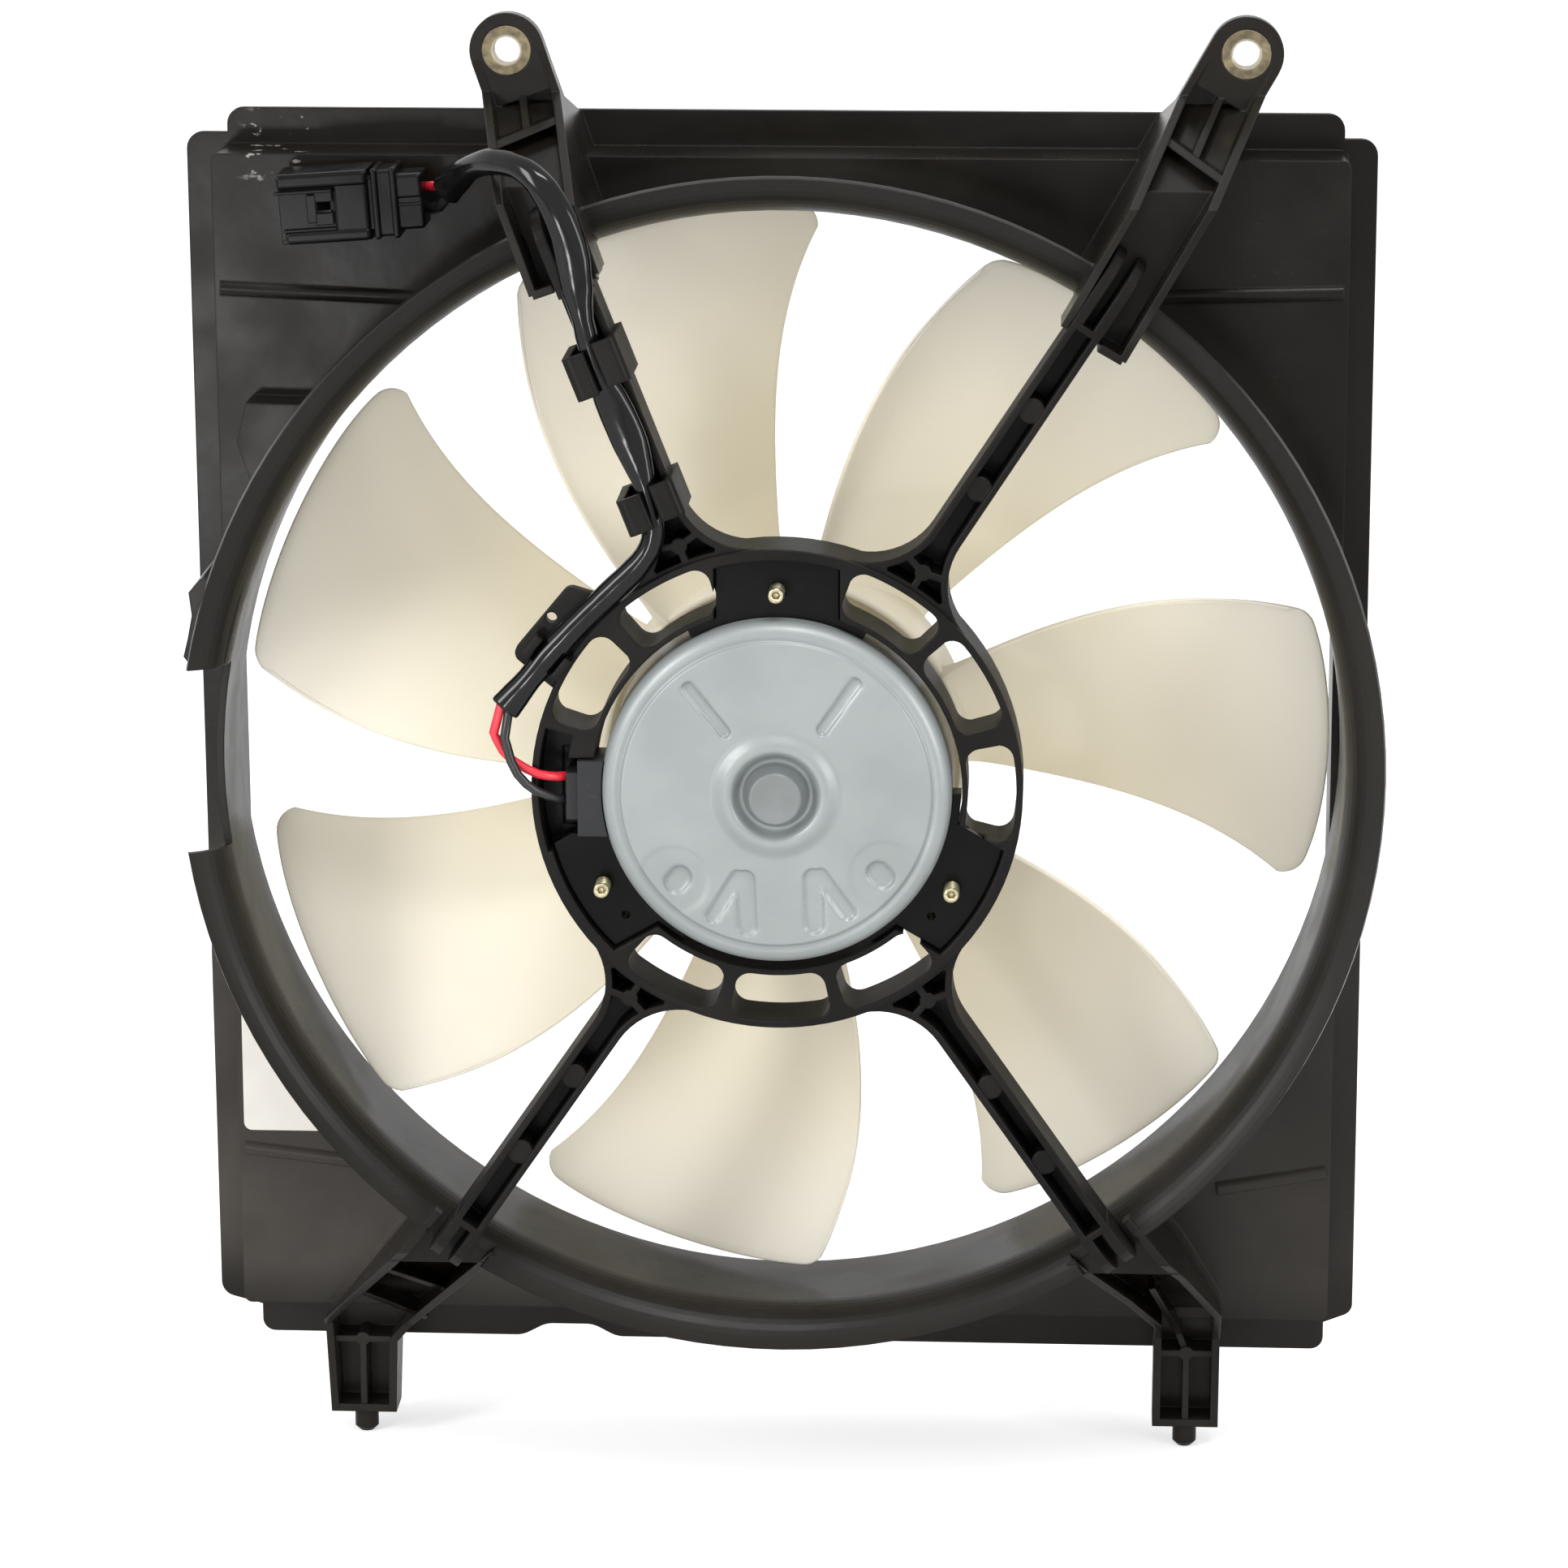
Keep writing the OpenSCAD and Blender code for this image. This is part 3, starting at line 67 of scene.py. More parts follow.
# %% Places about the fan's axis
FAN_OFFSET = 26
BOLT_HEIGHT = 210
BOLT_SPACING = 218
MM = 0.001


def place(u, v, w):
    return Vector(((u - FAN_OFFSET) * MM, -w * MM, (v - BOLT_HEIGHT) * MM))


print("fan axis", tuple(place(0, 0, 0)))

# %% [markdown]
# The photograph was taken from 1.65 m, a little from the right and 14 degrees above the fan. A long lens
# keeps the ring nearly round. The lens and the place were solved from the rings and the bolt holes, so they
# are used as given. They are in millimetres in the model's own frame.

# %% Camera
CAMERA_AT = (56.3, -1592.8, 174.0)
CAMERA_TARGET = (-27.5, 6, -225.2)
LENS = 123.47
SENSOR_WIDTH = 36
NEAREST = 0.1
FARTHEST = 20

camera_data = bpy.data.cameras.new("camera")
camera = bpy.data.objects.new("camera", camera_data)
scene.collection.objects.link(camera)
camera.location = Vector(CAMERA_AT) * MM
line_of_sight = Vector(CAMERA_TARGET) * MM - camera.location
camera.rotation_mode = "QUATERNION"
camera.rotation_quaternion = line_of_sight.to_track_quat("-Z", "Y")
camera_data.sensor_width = SENSOR_WIDTH
camera_data.lens = LENS
camera_data.clip_start = NEAREST
camera_data.clip_end = FARTHEST
scene.camera = camera
print("camera distance", round(line_of_sight.length, 3))

# %% [markdown]
# Every finish is a small network of nodes. Written as Python it reads like arithmetic when a socket knows how
# to add, subtract and multiply, so one class wraps a socket and makes a Math node for each sign. Anything
# else comes from one method that takes the node's type, its settings and what goes into its sockets.

# %% Sockets that do sums
class Flow:
    def __init__(self, tree, socket):
        self.tree = tree
        self.socket = socket

    def node(self, kind, settings=None, inputs=None, output=0):
        made = self.tree.nodes.new(kind)
        for name, value in (settings or {}).items():
            setattr(made, name, value)
        for name, value in (inputs or {}).items():
            if isinstance(value, Flow):
                self.tree.links.new(value.socket, made.inputs[name])
            else:
                made.inputs[name].default_value = value
        return Flow(self.tree, made.outputs[output]) if made.outputs else None

    def sum(self, operation, first, second=0.0):
        return self.node("ShaderNodeMath", {"operation": operation}, {0: first, 1: second})

    def __add__(self, other):
        return self.sum("ADD", self, other)

    def __radd__(self, other):
        return self.sum("ADD", other, self)

    def __sub__(self, other):
        return self.sum("SUBTRACT", self, other)

    def __rsub__(self, other):
        return self.sum("SUBTRACT", other, self)

    def __mul__(self, other):
        return self.sum("MULTIPLY", self, other)

    def __rmul__(self, other):
        return self.sum("MULTIPLY", other, self)

    def __truediv__(self, other):
        return self.sum("DIVIDE", self, other)

    def __pow__(self, other):
        return self.sum("POWER", self, other)


print("signs that a socket knows:", "+ - * / **")

# %% [markdown]
# Each finish starts from the same few patterns: noise at a size given in millimetres, a step that turns
# noise into a mask, and a blend of two colours. They work from the object's own coordinates, so they need no
# unwrapping. A bevel node gives the drawn edges a soft shading, and where its normal differs from the flat
# one there is an edge, which shows where handling wears.

# %% Patterns for finishes
BEVEL_SAMPLES = 4
EDGE_DIFFERENCE = (0.01, 0.25)
FACING_SQUARED = (0.1, 0.5)


def new_finish(name):
    finish = bpy.data.materials.new(name)
    finish.use_nodes = True
    tree = finish.node_tree
    tree.nodes.clear()
    start = Flow(tree, None)
    return finish, start


def grain(start, size, detail=2.0, stretch=None):
    where = start.node("ShaderNodeTexCoord", output="Object")
    if stretch:
        where = start.node("ShaderNodeVectorMath", {"operation": "MULTIPLY"}, {0: where, 1: stretch})
    return start.node("ShaderNodeTexNoise", {}, {"Vector": where, "Scale": 1 / (size * MM), "Detail": detail})


def mask(start, value, low, high):
    return start.node("ShaderNodeMapRange", {"interpolation_type": "SMOOTHSTEP"},
                      {"Value": value, "From Min": low, "From Max": high})


def at_least(lowest, amount):
    return lowest + amount * (1 - lowest)


def blend_colours(start, amount, first, second):
    return start.node("ShaderNodeMix", {"data_type": "RGBA"}, {0: amount, 6: first, 7: second}, output=2)


def colour(r, g, b):
    return (r, g, b, 1.0)


def brighter(shade, factor):
    return colour(*[min(1.0, factor * c) for c in shade])


def soft_edges(start, radius):
    return start.node("ShaderNodeBevel", {"samples": BEVEL_SAMPLES}, {"Radius": radius * MM})


def edge_amount(start, radius):
    rounded = soft_edges(start, radius)
    flat = start.node("ShaderNodeNewGeometry", output="Normal")
    likeness = start.node("ShaderNodeVectorMath", {"operation": "DOT_PRODUCT"}, {0: rounded, 1: flat},
                          output="Value")
    return mask(start, 1 - likeness, *EDGE_DIFFERENCE)


def bump(start, height, depth, strength=1.0, normal=None):
    inputs = {"Height": height, "Distance": depth * MM, "Strength": strength}
    if normal:
        inputs["Normal"] = normal
    return start.node("ShaderNodeBump", {}, inputs)


def place_of(start, part):
    where = start.node("ShaderNodeTexCoord", output="Object")
    return start.node("ShaderNodeSeparateXYZ", {}, {0: where}, output=part)


def faces_sideways(start):
    normal = start.node("ShaderNodeTexCoord", output="Normal")
    facing = start.node("ShaderNodeSeparateXYZ", {}, {0: normal}, output="Y")
    return 1 - mask(start, facing * facing, *FACING_SQUARED)


def from_axis(start, u, v):
    centre = place(u, v, 0)
    across = place_of(start, "X") - centre.x
    up = place_of(start, "Z") - centre.z
    return (across ** 2 + up ** 2) ** 0.5 / MM


def surface(finish, start, inputs):
    shader = start.node("ShaderNodeBsdfPrincipled", {}, inputs)
    start.node("ShaderNodeOutputMaterial", {}, {"Surface": shader})
    return finish


print("bevel samples", BEVEL_SAMPLES)

# %% [markdown]
# The shroud has hung in a car, and it shows. A thin film of dust lies along the flared ring, a pale haze
# grows toward the lower left of the panel but not on the feet, and a few scratches mark the upper left
# corner. The haze is partly dust and partly a painted sheen: it lightens the panel where the lamps' sheen
# falls. Each is a mask times some noise, placed by its distance from the fan's axis or its height on the
# panel, and laid over the black as a colour.

# %% Dust, a haze of dust and painted sheen, and scratches of the shroud
RING_STARTS = (165, 170)
RING_ENDS = (175, 182)
CLOUD_SIZE = 70
CLOUD_RANGE = (0.3, 0.7)
FILM_COLOUR = (0.0185, 0.0165, 0.014)
DUST_AND_SHEEN_COLOUR = (0.080, 0.0715, 0.0625)
DUST_AND_SHEEN_HEIGHTS = (20, -110)
DUST_AND_SHEEN_WIDTHS = (120, -120)
FOOT_HEIGHTS = (-168, -190)
FOOT_FADE = 0.8
PANEL_DEPTHS = (-0.012, -0.003)
PANEL_BACK = (0.0262, 0.0274)
SCRATCH_AT = (-156, 180)
SCRATCH_REACH = (6, 14)
SCRATCH_SIZE = 4
SCRATCH_STRETCH = (1, 1, 1.8)
SCRATCH_RANGE = (0.61, 0.66)
SCRATCH_COLOUR = (0.3, 0.285, 0.26)


def height_mask(start, heights):
    return mask(start, place_of(start, "Z"), *[place(0, v, 0).z for v in heights])


# Painted sheen: the haze is partly dust and partly a painted sheen that lightens the lower left of the panel
def dust_and_sheen_amount(start, panel, clouds):
    low = height_mask(start, DUST_AND_SHEEN_HEIGHTS) * (1 - height_mask(start, FOOT_HEIGHTS) * FOOT_FADE)
    leftward = mask(start, place_of(start, "X"), *[place(u, 0, 0).x for u in DUST_AND_SHEEN_WIDTHS])
    return low * panel * at_least(0.4, leftward) * at_least(0.45, clouds)


def scratch_amount(start, panel):
    near = 1 - mask(start, from_axis(start, *SCRATCH_AT), *SCRATCH_REACH)
    front = 1 - mask(start, place_of(start, "Y"), *PANEL_BACK)
    marks = mask(start, grain(start, SCRATCH_SIZE, 5, SCRATCH_STRETCH), *SCRATCH_RANGE)
    return marks * near * panel * front


def soiled_and_sheened_shroud(start, tone, dust):
    radius = from_axis(start, 0, 0)
    band = mask(start, radius, *RING_STARTS) * (1 - mask(start, radius, *RING_ENDS))
    clouds = mask(start, grain(start, CLOUD_SIZE, 4), *CLOUD_RANGE)
    film = band * at_least(0.7, clouds) * dust
    panel = mask(start, place_of(start, "Y"), *PANEL_DEPTHS) * (1 - band)
    tone = blend_colours(start, film, tone, colour(*FILM_COLOUR))
    tone = blend_colours(start, dust_and_sheen_amount(start, panel, clouds), tone, colour(*DUST_AND_SHEEN_COLOUR))
    tone = blend_colours(start, scratch_amount(start, panel), tone, colour(*SCRATCH_COLOUR))
    return tone, film


print("dust lies between radii", RING_STARTS, RING_ENDS)

# %% [markdown]
# The shroud and the motor stay are moulded in black, glass-filled nylon. It is satin, a trace brown rather
# than neutral, with a fine spark-eroded grain, and its edges are never knife sharp. Patches turn slowly from
# one black to another, scuffs run along the panel, and edges are a little greyer where hands have polished
# them. The rubber of the grommet and the painted bracket are other settings of the same finish. The stay's
# side walls were left coarser by the mould, so that they mirror less of the bright room.

# %% Black mouldings
PATCH_SIZE = 34
PATCH_RANGE = (0.38, 0.72)
SCUFF_SIZE = 3.2
SCUFF_STRETCH = (1, 1, 7)
SCUFF_RANGE = (0.66, 0.74)
SCUFF_LIGHTER = 5
WORN_LIGHTER = 2.2
WEAR_SHARE = 0.3
SPARK_SIZE = 0.35
SPARK_DEPTH = 0.05
SINK_SIZE = 9
SINK_DEPTH = 0.6


def moulded_black(name, base, dusty, roughness, edge, shine=0.22, dust=0.0, coarse_walls=0.0):
    finish, start = new_finish(name)
    patches = mask(start, grain(start, PATCH_SIZE, 5), *PATCH_RANGE)
    scuffs = mask(start, grain(start, SCUFF_SIZE, 6, SCUFF_STRETCH), *SCUFF_RANGE) * patches
    rough = roughness + (patches - 0.5) * 0.12 + scuffs * 0.1
    tone = blend_colours(start, patches, colour(*base), colour(*dusty))
    # The dust switch also brings in the haze, which is partly painted sheen
    if dust:
        tone, film = soiled_and_sheened_shroud(start, tone, dust)
        rough = rough + film * 0.15
    if coarse_walls:
        rough = rough + faces_sideways(start) * coarse_walls
    tone = blend_colours(start, scuffs * WEAR_SHARE, tone, brighter(dusty, SCUFF_LIGHTER))
    tone = blend_colours(start, edge_amount(start, edge) * WEAR_SHARE, tone, brighter(dusty, WORN_LIGHTER))
    normal = bump(start, grain(start, SPARK_SIZE, 3), SPARK_DEPTH, 0.3, soft_edges(start, edge))
    normal = bump(start, grain(start, SINK_SIZE, 2), SINK_DEPTH, 0.12, normal)
    return surface(finish, start, {
        "Base Color": tone, "Roughness": rough, "Normal": normal, "Specular IOR Level": shine})


shroud_finish = moulded_black(
    "shroud_moulding", (0.0082, 0.0066, 0.0052), (0.0128, 0.0105, 0.0084), roughness=0.27, edge=0.8,
    shine=0.17, dust=0.7)
stay_finish = moulded_black(
    "stay_moulding", (0.0045, 0.004, 0.0036), (0.0085, 0.0076, 0.0067), roughness=0.32, edge=1.1,
    shine=0.15, coarse_walls=0.2)
grommet_finish = moulded_black(
    "grommet_rubber", (0.016, 0.0165, 0.018), (0.024, 0.0245, 0.0265), roughness=0.45, edge=0.4)
bracket_finish = moulded_black(
    "bracket_paint", (0.002, 0.002, 0.0019), (0.004, 0.004, 0.0038), roughness=0.26, edge=0.4, shine=0.12)
print("black finishes: 4")


# %% [markdown]
# The can is deep-drawn steel with a pale zinc plating. Plating is metal under a thin bright skin, so most of
# its colour is reflection, but its crystals scatter enough light that it photographs as a soft blue white.
# The bearing cup at its centre is darkened in its colour, a painted shade.

# %% Plated and bare metals
CUP_SHADE_FADE = 0.8
CUP_SHADE_DARKER = 0.55


def metal(name, base, dull, roughness, metallic, size=3.0, stretch=None, edge=0.25, shaded_cup_r=0):
    finish, start = new_finish(name)
    clouds = mask(start, grain(start, size * 4, 4), 0.3, 0.75)
    fine = grain(start, size / 6, 3, stretch)
    tone = blend_colours(start, clouds, colour(*base), colour(*dull))
    # Painted shade: the bearing cup at the can's centre is darkened in its colour
    if shaded_cup_r:
        inside = 1 - mask(start, from_axis(start, 0, 0), shaded_cup_r - CUP_SHADE_FADE, shaded_cup_r + CUP_SHADE_FADE)
        tone = blend_colours(start, inside * (0.45 + clouds * 0.3), tone, brighter(dull, CUP_SHADE_DARKER))
    normal = bump(start, fine, 0.02, 0.3, soft_edges(start, edge) if edge else None)
    rough = roughness + clouds * 0.1 + (fine - 0.5) * 0.12
    return surface(finish, start, {
        "Base Color": tone, "Roughness": rough, "Metallic": metallic, "Normal": normal})


can_finish = metal(
    "can_zinc", (0.296, 0.322, 0.318), (0.26, 0.284, 0.28), 0.34, 0.25, size=6, edge=0, shaded_cup_r=9.4)
screw_finish = metal("screw_chromate", (0.58, 0.53, 0.36), (0.42, 0.38, 0.23), 0.25, 1.0, size=1.2)
steel_finish = metal("ground_steel", (0.5, 0.51, 0.52), (0.42, 0.43, 0.44), 0.3, 1.0, size=1.5)
bronze_finish = metal("bearing_bronze", (0.42, 0.28, 0.14), (0.34, 0.22, 0.11), 0.45, 0.9, size=1.0)
core_finish = metal(
    "core_laminations", (0.3, 0.3, 0.31), (0.22, 0.22, 0.23), 0.45, 0.9, size=2.0, stretch=(1, 12, 1))
copper_finish = metal(
    "winding_copper", (0.62, 0.25, 0.1), (0.5, 0.18, 0.07), 0.35, 0.85, size=1.0, stretch=(1, 6, 1))
terminal_finish = metal("terminal_tin", (0.72, 0.68, 0.58), (0.6, 0.56, 0.47), 0.3, 1.0, size=0.8)
print("plain metal finishes: 7")

# %% [markdown]
# The collars in the ears are turned from steel and plated yellow. The lathe leaves fine rings about each
# collar's own axis, the bolts have stained the face brown, and the rim of the bore is rubbed bright.

# %% Turned collars
TURNING_RINGS = 17
BORE_RIM = (4.9, 4.1)
RIM_BRIGHT = 0.7


def turned_collar(name, u):
    finish, start = new_finish(name)
    radius = from_axis(start, u, BOLT_HEIGHT)
    rings = start.sum("SINE", radius * TURNING_RINGS)
    stain = mask(start, grain(start, 2.2, 4), 0.35, 0.7)
    rim = mask(start, radius, *BORE_RIM)
    tone = blend_colours(start, stain, colour(0.23, 0.19, 0.115), colour(0.13, 0.11, 0.075))
    tone = blend_colours(start, rim * RIM_BRIGHT, tone, colour(0.55, 0.5, 0.38))
    normal = bump(start, rings, 0.03, 0.5, soft_edges(start, 0.3))
    return surface(finish, start, {
        "Base Color": tone, "Roughness": 0.3 + stain * 0.2, "Metallic": 0.9, "Normal": normal})


left_collar_finish = turned_collar("left_collar_zinc", FAN_OFFSET - BOLT_SPACING / 2)
right_collar_finish = turned_collar("right_collar_zinc", FAN_OFFSET + BOLT_SPACING / 2)
print("collar finishes: 2")


# %% [markdown]
# The other pieces are plain plastics and ceramics. One function covers them, because they differ only in
# colour, gloss and grain. The connector is the glossiest, and the red and black skins of the lead come next.

# %% Plain plastics, rubber and ceramic
COAT_ROUGHNESS = 0.15


def plastic(name, base, second, roughness, coat=0.0, size=6.0, relief=0.03, shine=0.5):
    finish, start = new_finish(name)
    clouds = mask(start, grain(start, size, 3), 0.35, 0.7)
    fine = grain(start, size / 12, 2)
    tone = blend_colours(start, clouds, colour(*base), colour(*second))
    normal = bump(start, fine, relief, 0.3)
    return surface(finish, start, {
        "Base Color": tone, "Roughness": roughness + clouds * 0.08, "Normal": normal,
        "Coat Weight": coat, "Coat Roughness": COAT_ROUGHNESS, "Specular IOR Level": shine})


red_finish = plastic("wire_red", (0.72, 0.022, 0.045), (0.62, 0.02, 0.035), 0.3, coat=0.3)
black_finish = plastic("wire_black", (0.010, 0.010, 0.0105), (0.016, 0.016, 0.017), 0.3, coat=0.15)
connector_finish = plastic(
    "connector_black", (0.004, 0.004, 0.0045), (0.006, 0.006, 0.0065), 0.16, size=9, relief=0.01, shine=0.15)
label_finish = plastic("blank_label", (0.78, 0.75, 0.69), (0.74, 0.71, 0.65), 0.35, coat=0.1, size=12)
seal_finish = plastic("seal_silicone", (0.5, 0.12, 0.05), (0.42, 0.09, 0.04), 0.5)
card_finish = plastic("brush_card_resin", (0.2, 0.11, 0.05), (0.16, 0.085, 0.04), 0.5)
ferrite_finish = plastic("ferrite", (0.045, 0.045, 0.05), (0.06, 0.06, 0.062), 0.6)
carbon_finish = plastic("brush_carbon", (0.03, 0.03, 0.03), (0.045, 0.045, 0.045), 0.5)
washer_finish = plastic("thrust_nylon", (0.72, 0.68, 0.55), (0.66, 0.62, 0.5), 0.45)
print("plastic finishes: 9")

# %% [markdown]
# The pieces whose drawn shape is right already only need a finish, so each one's material slot is filled.

# %% Give the drawn pieces their finishes
drawn_finishes = {
    "shroud": shroud_finish, "left_collar": left_collar_finish, "right_collar": right_collar_finish,
    "motor_stay": stay_finish, "motor_bracket": bracket_finish, "front_cover": can_finish,
    "field_magnets": ferrite_finish, "rear_bearing": bronze_finish, "front_bearing": steel_finish,
    "brush_card": card_finish, "brushes": carbon_finish, "brush_springs": steel_finish,
    "lead_grommet": grommet_finish, "connector_terminals": terminal_finish,
    "connector_seals": seal_finish, "armature_shaft": steel_finish, "armature_core": core_finish,
    "armature_windings": copper_finish, "commutator": copper_finish, "thrust_washers": washer_finish,
    "hub_insert": steel_finish, "fan_nut": screw_finish, "fan_washer": screw_finish,
}
for name, finish in drawn_finishes.items():
    mesh = nodes[name].data
    mesh.materials.clear()
    mesh.materials.append(finish)
print("drawn pieces finished:", len(drawn_finishes))

# %% [markdown]
# A made piece is a mesh from points and faces. It rides on its body and may stand for a drawn node. Most of
# the meshes here are nets of rows and columns, so one function lists the faces of a net, and another turns
# a radius and an angle into a place.

# %% Make a piece from points and faces
def make_piece(name, points, faces, finish, body, stands_for=()):
    mesh = bpy.data.meshes.new(name)
    mesh.from_pydata([place(*p) for p in points], [], faces)
    mesh.update()
    mesh.polygons.foreach_set("use_smooth", [True] * len(mesh.polygons))
    piece = bpy.data.objects.new(name, mesh)
    scene.collection.objects.link(piece)
    mesh.materials.append(finish)
    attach(piece, body)
    if stands_for:
        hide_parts(*stands_for)
    print(name, len(points), "points")
    return piece


def grid_faces(rows, columns, closed):
    faces = []
    for j in range(rows - 1):
        here = j * columns
        above = here + columns
        for i in range(columns if closed else columns - 1):
            k = (i + 1) % columns
            faces.append((here + i, here + k, above + k, above + i))
    return faces


def shifted(faces, shift):
    return [tuple(i + shift for i in face) for face in faces]


def polar(radius, angle):
    return radius * math.cos(angle), radius * math.sin(angle)


print("faces in a net of 3 by 3 points:", len(grid_faces(3, 3, False)))

# %% [markdown]
# The two wires leave the motor at its grommet, bow out to the left, slip into a glossy vinyl sleeve and run
# with it through the hooks of the left arm, over the leg and down into the connector. A free cable keeps one
# smooth line, so a few points are rounded twice by cutting corners, and the sleeve and both wires are swept
# along that line. The wires lie side by side and change places near the connector.

# %% Route of the lead
SLEEVE_ROUTE = [
    (-79.6, 24.6, 66), (-71.1, 35, 66), (-63.1, 44.8, 66), (-50.1, 58, 66), (-39.5, 67.9, 66), (-35, 76, 66),
    (-36.6, 87, 66), (-40.5, 99.5, 66), (-44.8, 110, 66), (-53.4, 129, 66.1), (-56.8, 146, 66.8),
    (-59, 163, 67.2), (-65.4, 176.4, 66.4), (-73, 183, 62), (-82.6, 183.6, 53.2), (-90.6, 180, 42),
    (-95.5, 175, 30), (-99.5, 170.5, 22)]
RED_TAIL = [(-62, 3, 60), (-66, 3.6, 64), (-71.4, 5.1, 66), (-79.5, 9.9, 65.4), (-83, 17, 65.8)]
BLACK_TAIL = [(-62, -4.2, 60), (-66, -2.4, 65), (-72, 1, 68.6), (-77, 7, 69.4), (-79.6, 16, 67.5)]
RED_HEAD = [(-103, 170.7, 14), (-104.6, 170.6, 12.4), (-106.8, 170.4, 12)]
BLACK_HEAD = [(-102.6, 164.4, 14), (-104.2, 164.2, 12.4), (-106.4, 164, 12)]
CORNER_CUT = 0.25
NEARLY_UP = Vector((0, 0.05, 1))
WIRE_R = 1.4
WIRES_APART = 1.46
TWIST_FROM = 0.8


def cut_corners(points):
    smooth = [points[0]]
    for p, q in zip(points, points[1:]):
        smooth.append((1 - CORNER_CUT) * p + CORNER_CUT * q)
        smooth.append(CORNER_CUT * p + (1 - CORNER_CUT) * q)
    smooth.append(points[-1])
    return smooth


def vectors(points):
    return [Vector(p) for p in points]


def step(value, low, high):
    t = min(1.0, max(0.0, (value - low) / (high - low)))
    return t * t * (3 - 2 * t)


def heading(line, i):
    return (line[min(i + 1, len(line) - 1)] - line[max(i - 1, 0)]).normalized()


def sideways(line, i):
    return heading(line, i).cross(NEARLY_UP).normalized()


sleeve_line = cut_corners(vectors(SLEEVE_ROUTE))
red_line = cut_corners(vectors(RED_TAIL))
black_line = cut_corners(vectors(BLACK_TAIL))
for i, p in enumerate(sleeve_line):
    turn = math.pi * step(i / (len(sleeve_line) - 1), TWIST_FROM, 1.0)
    side = sideways(sleeve_line, i)
    apart = WIRES_APART * (math.cos(turn) * side + math.sin(turn) * side.cross(heading(sleeve_line, i)))
    red_line.append(p - apart)
    black_line.append(p + apart)
red_line = red_line + vectors(RED_HEAD)
black_line = black_line + vectors(BLACK_HEAD)
fine_sleeve = cut_corners(sleeve_line)
print("sleeve points", len(fine_sleeve))


# %% Sweep the two wires
WIRE_SIDES = 14


def line_length(line):
    return sum((q - p).length for p, q in zip(line, line[1:]))


def sweep(line, half_sizes, sides, closed_ends):
    points = []
    for i, p in enumerate(line):
        out = sideways(line, i)
        up = out.cross(heading(line, i))
        wide, high = half_sizes(i)
        for k in range(sides):
            turn = 2 * math.pi * k / sides
            points.append(tuple(p + out * wide * math.cos(turn) + up * high * math.sin(turn)))
    faces = grid_faces(len(line), sides, True)
    if closed_ends:
        faces.append(tuple(range(sides - 1, -1, -1)))
        faces.append(tuple(range((len(line) - 1) * sides, len(line) * sides)))
    return points, faces


def wire(name, line, finish):
    points, faces = sweep(line, lambda i: (WIRE_R, WIRE_R), WIRE_SIDES, True)
    piece = make_piece(name, points, faces, finish, "housing", [name.replace("_wire", "_lead")])
    path = [tuple(place(*p)) for p in line]
    line_length(line) * MM
    return piece


red_wire = wire("red_wire", red_line, red_finish)
black_wire = wire("black_wire", black_line, black_finish)
print("wire lengths", round(line_length(red_line)), round(line_length(black_line)))


# %% [markdown]
# The sleeve is soft vinyl tube. Where nothing holds it, it lies flat over the two wires, and each hook folds
# it narrow again, so its width follows its height on the arm, and a slow wave keeps it from looking turned.
# It is nearly black, and long soft creases break up the highlight that runs along it.

# %% Vinyl sleeve
CREASE_SIZE = 13
CREASE_DEPTH = 1.5
SLEEVE_WALL = 0.45
SLEEVE_SIDES = 20
SLEEVE_NARROW = 3.4
SLEEVE_HIGH = 3.5
# Height above the axis, then the half width there
SLEEVE_WIDTHS = [
    (20, 5.0), (32, 3.9), (60, 3.7), (78, 3.4), (92, 3.4), (98, 4.4), (106, 5.4), (116, 5.2), (122, 3.9),
    (127, 3.4), (141, 3.4), (148, 4.6), (158, 5.0), (172, 4.6), (180, 3.8), (190, 3.6)]


def vinyl():
    finish, start = new_finish("sleeve_vinyl")
    creases = grain(start, CREASE_SIZE, 1)
    fine = grain(start, 0.8, 2)
    folded = mask(start, creases, 0.4, 0.7)
    tone = blend_colours(start, folded, colour(0.0022, 0.0022, 0.0026), colour(0.0045, 0.0045, 0.005))
    normal = bump(start, creases, CREASE_DEPTH, 0.35)
    return surface(finish, start, {
        "Base Color": tone, "Roughness": 0.1 + fine * 0.06, "Normal": normal, "Specular IOR Level": 0.32})


def sleeve_size(i):
    v = fine_sleeve[i].y
    wide = float(np.interp(v, [a for a, b in SLEEVE_WIDTHS], [b for a, b in SLEEVE_WIDTHS]))
    wave = 0.12 * math.sin(i * 0.9) + 0.06 * math.sin(i * 2.3)
    return wide + wave, SLEEVE_HIGH - 0.55 * (wide - SLEEVE_NARROW) - 0.3 * wave


def sleeve_bore(i):
    return [half_size - SLEEVE_WALL for half_size in sleeve_size(i)]


outer, outer_faces = sweep(fine_sleeve, sleeve_size, SLEEVE_SIDES, False)
inner, inner_faces = sweep(fine_sleeve, sleeve_bore, SLEEVE_SIDES, False)
shift = len(outer)
sleeve_faces = outer_faces + shifted([face[::-1] for face in inner_faces], shift)
last = (len(fine_sleeve) - 1) * SLEEVE_SIDES
for k in range(SLEEVE_SIDES):
    n = (k + 1) % SLEEVE_SIDES
    sleeve_faces.append((n, k, k + shift, n + shift))
    sleeve_faces.append((last + k, last + n, last + n + shift, last + k + shift))
make_piece("vinyl_sleeve", outer + inner, sleeve_faces, vinyl(), "housing", ["lead_sleeve"])


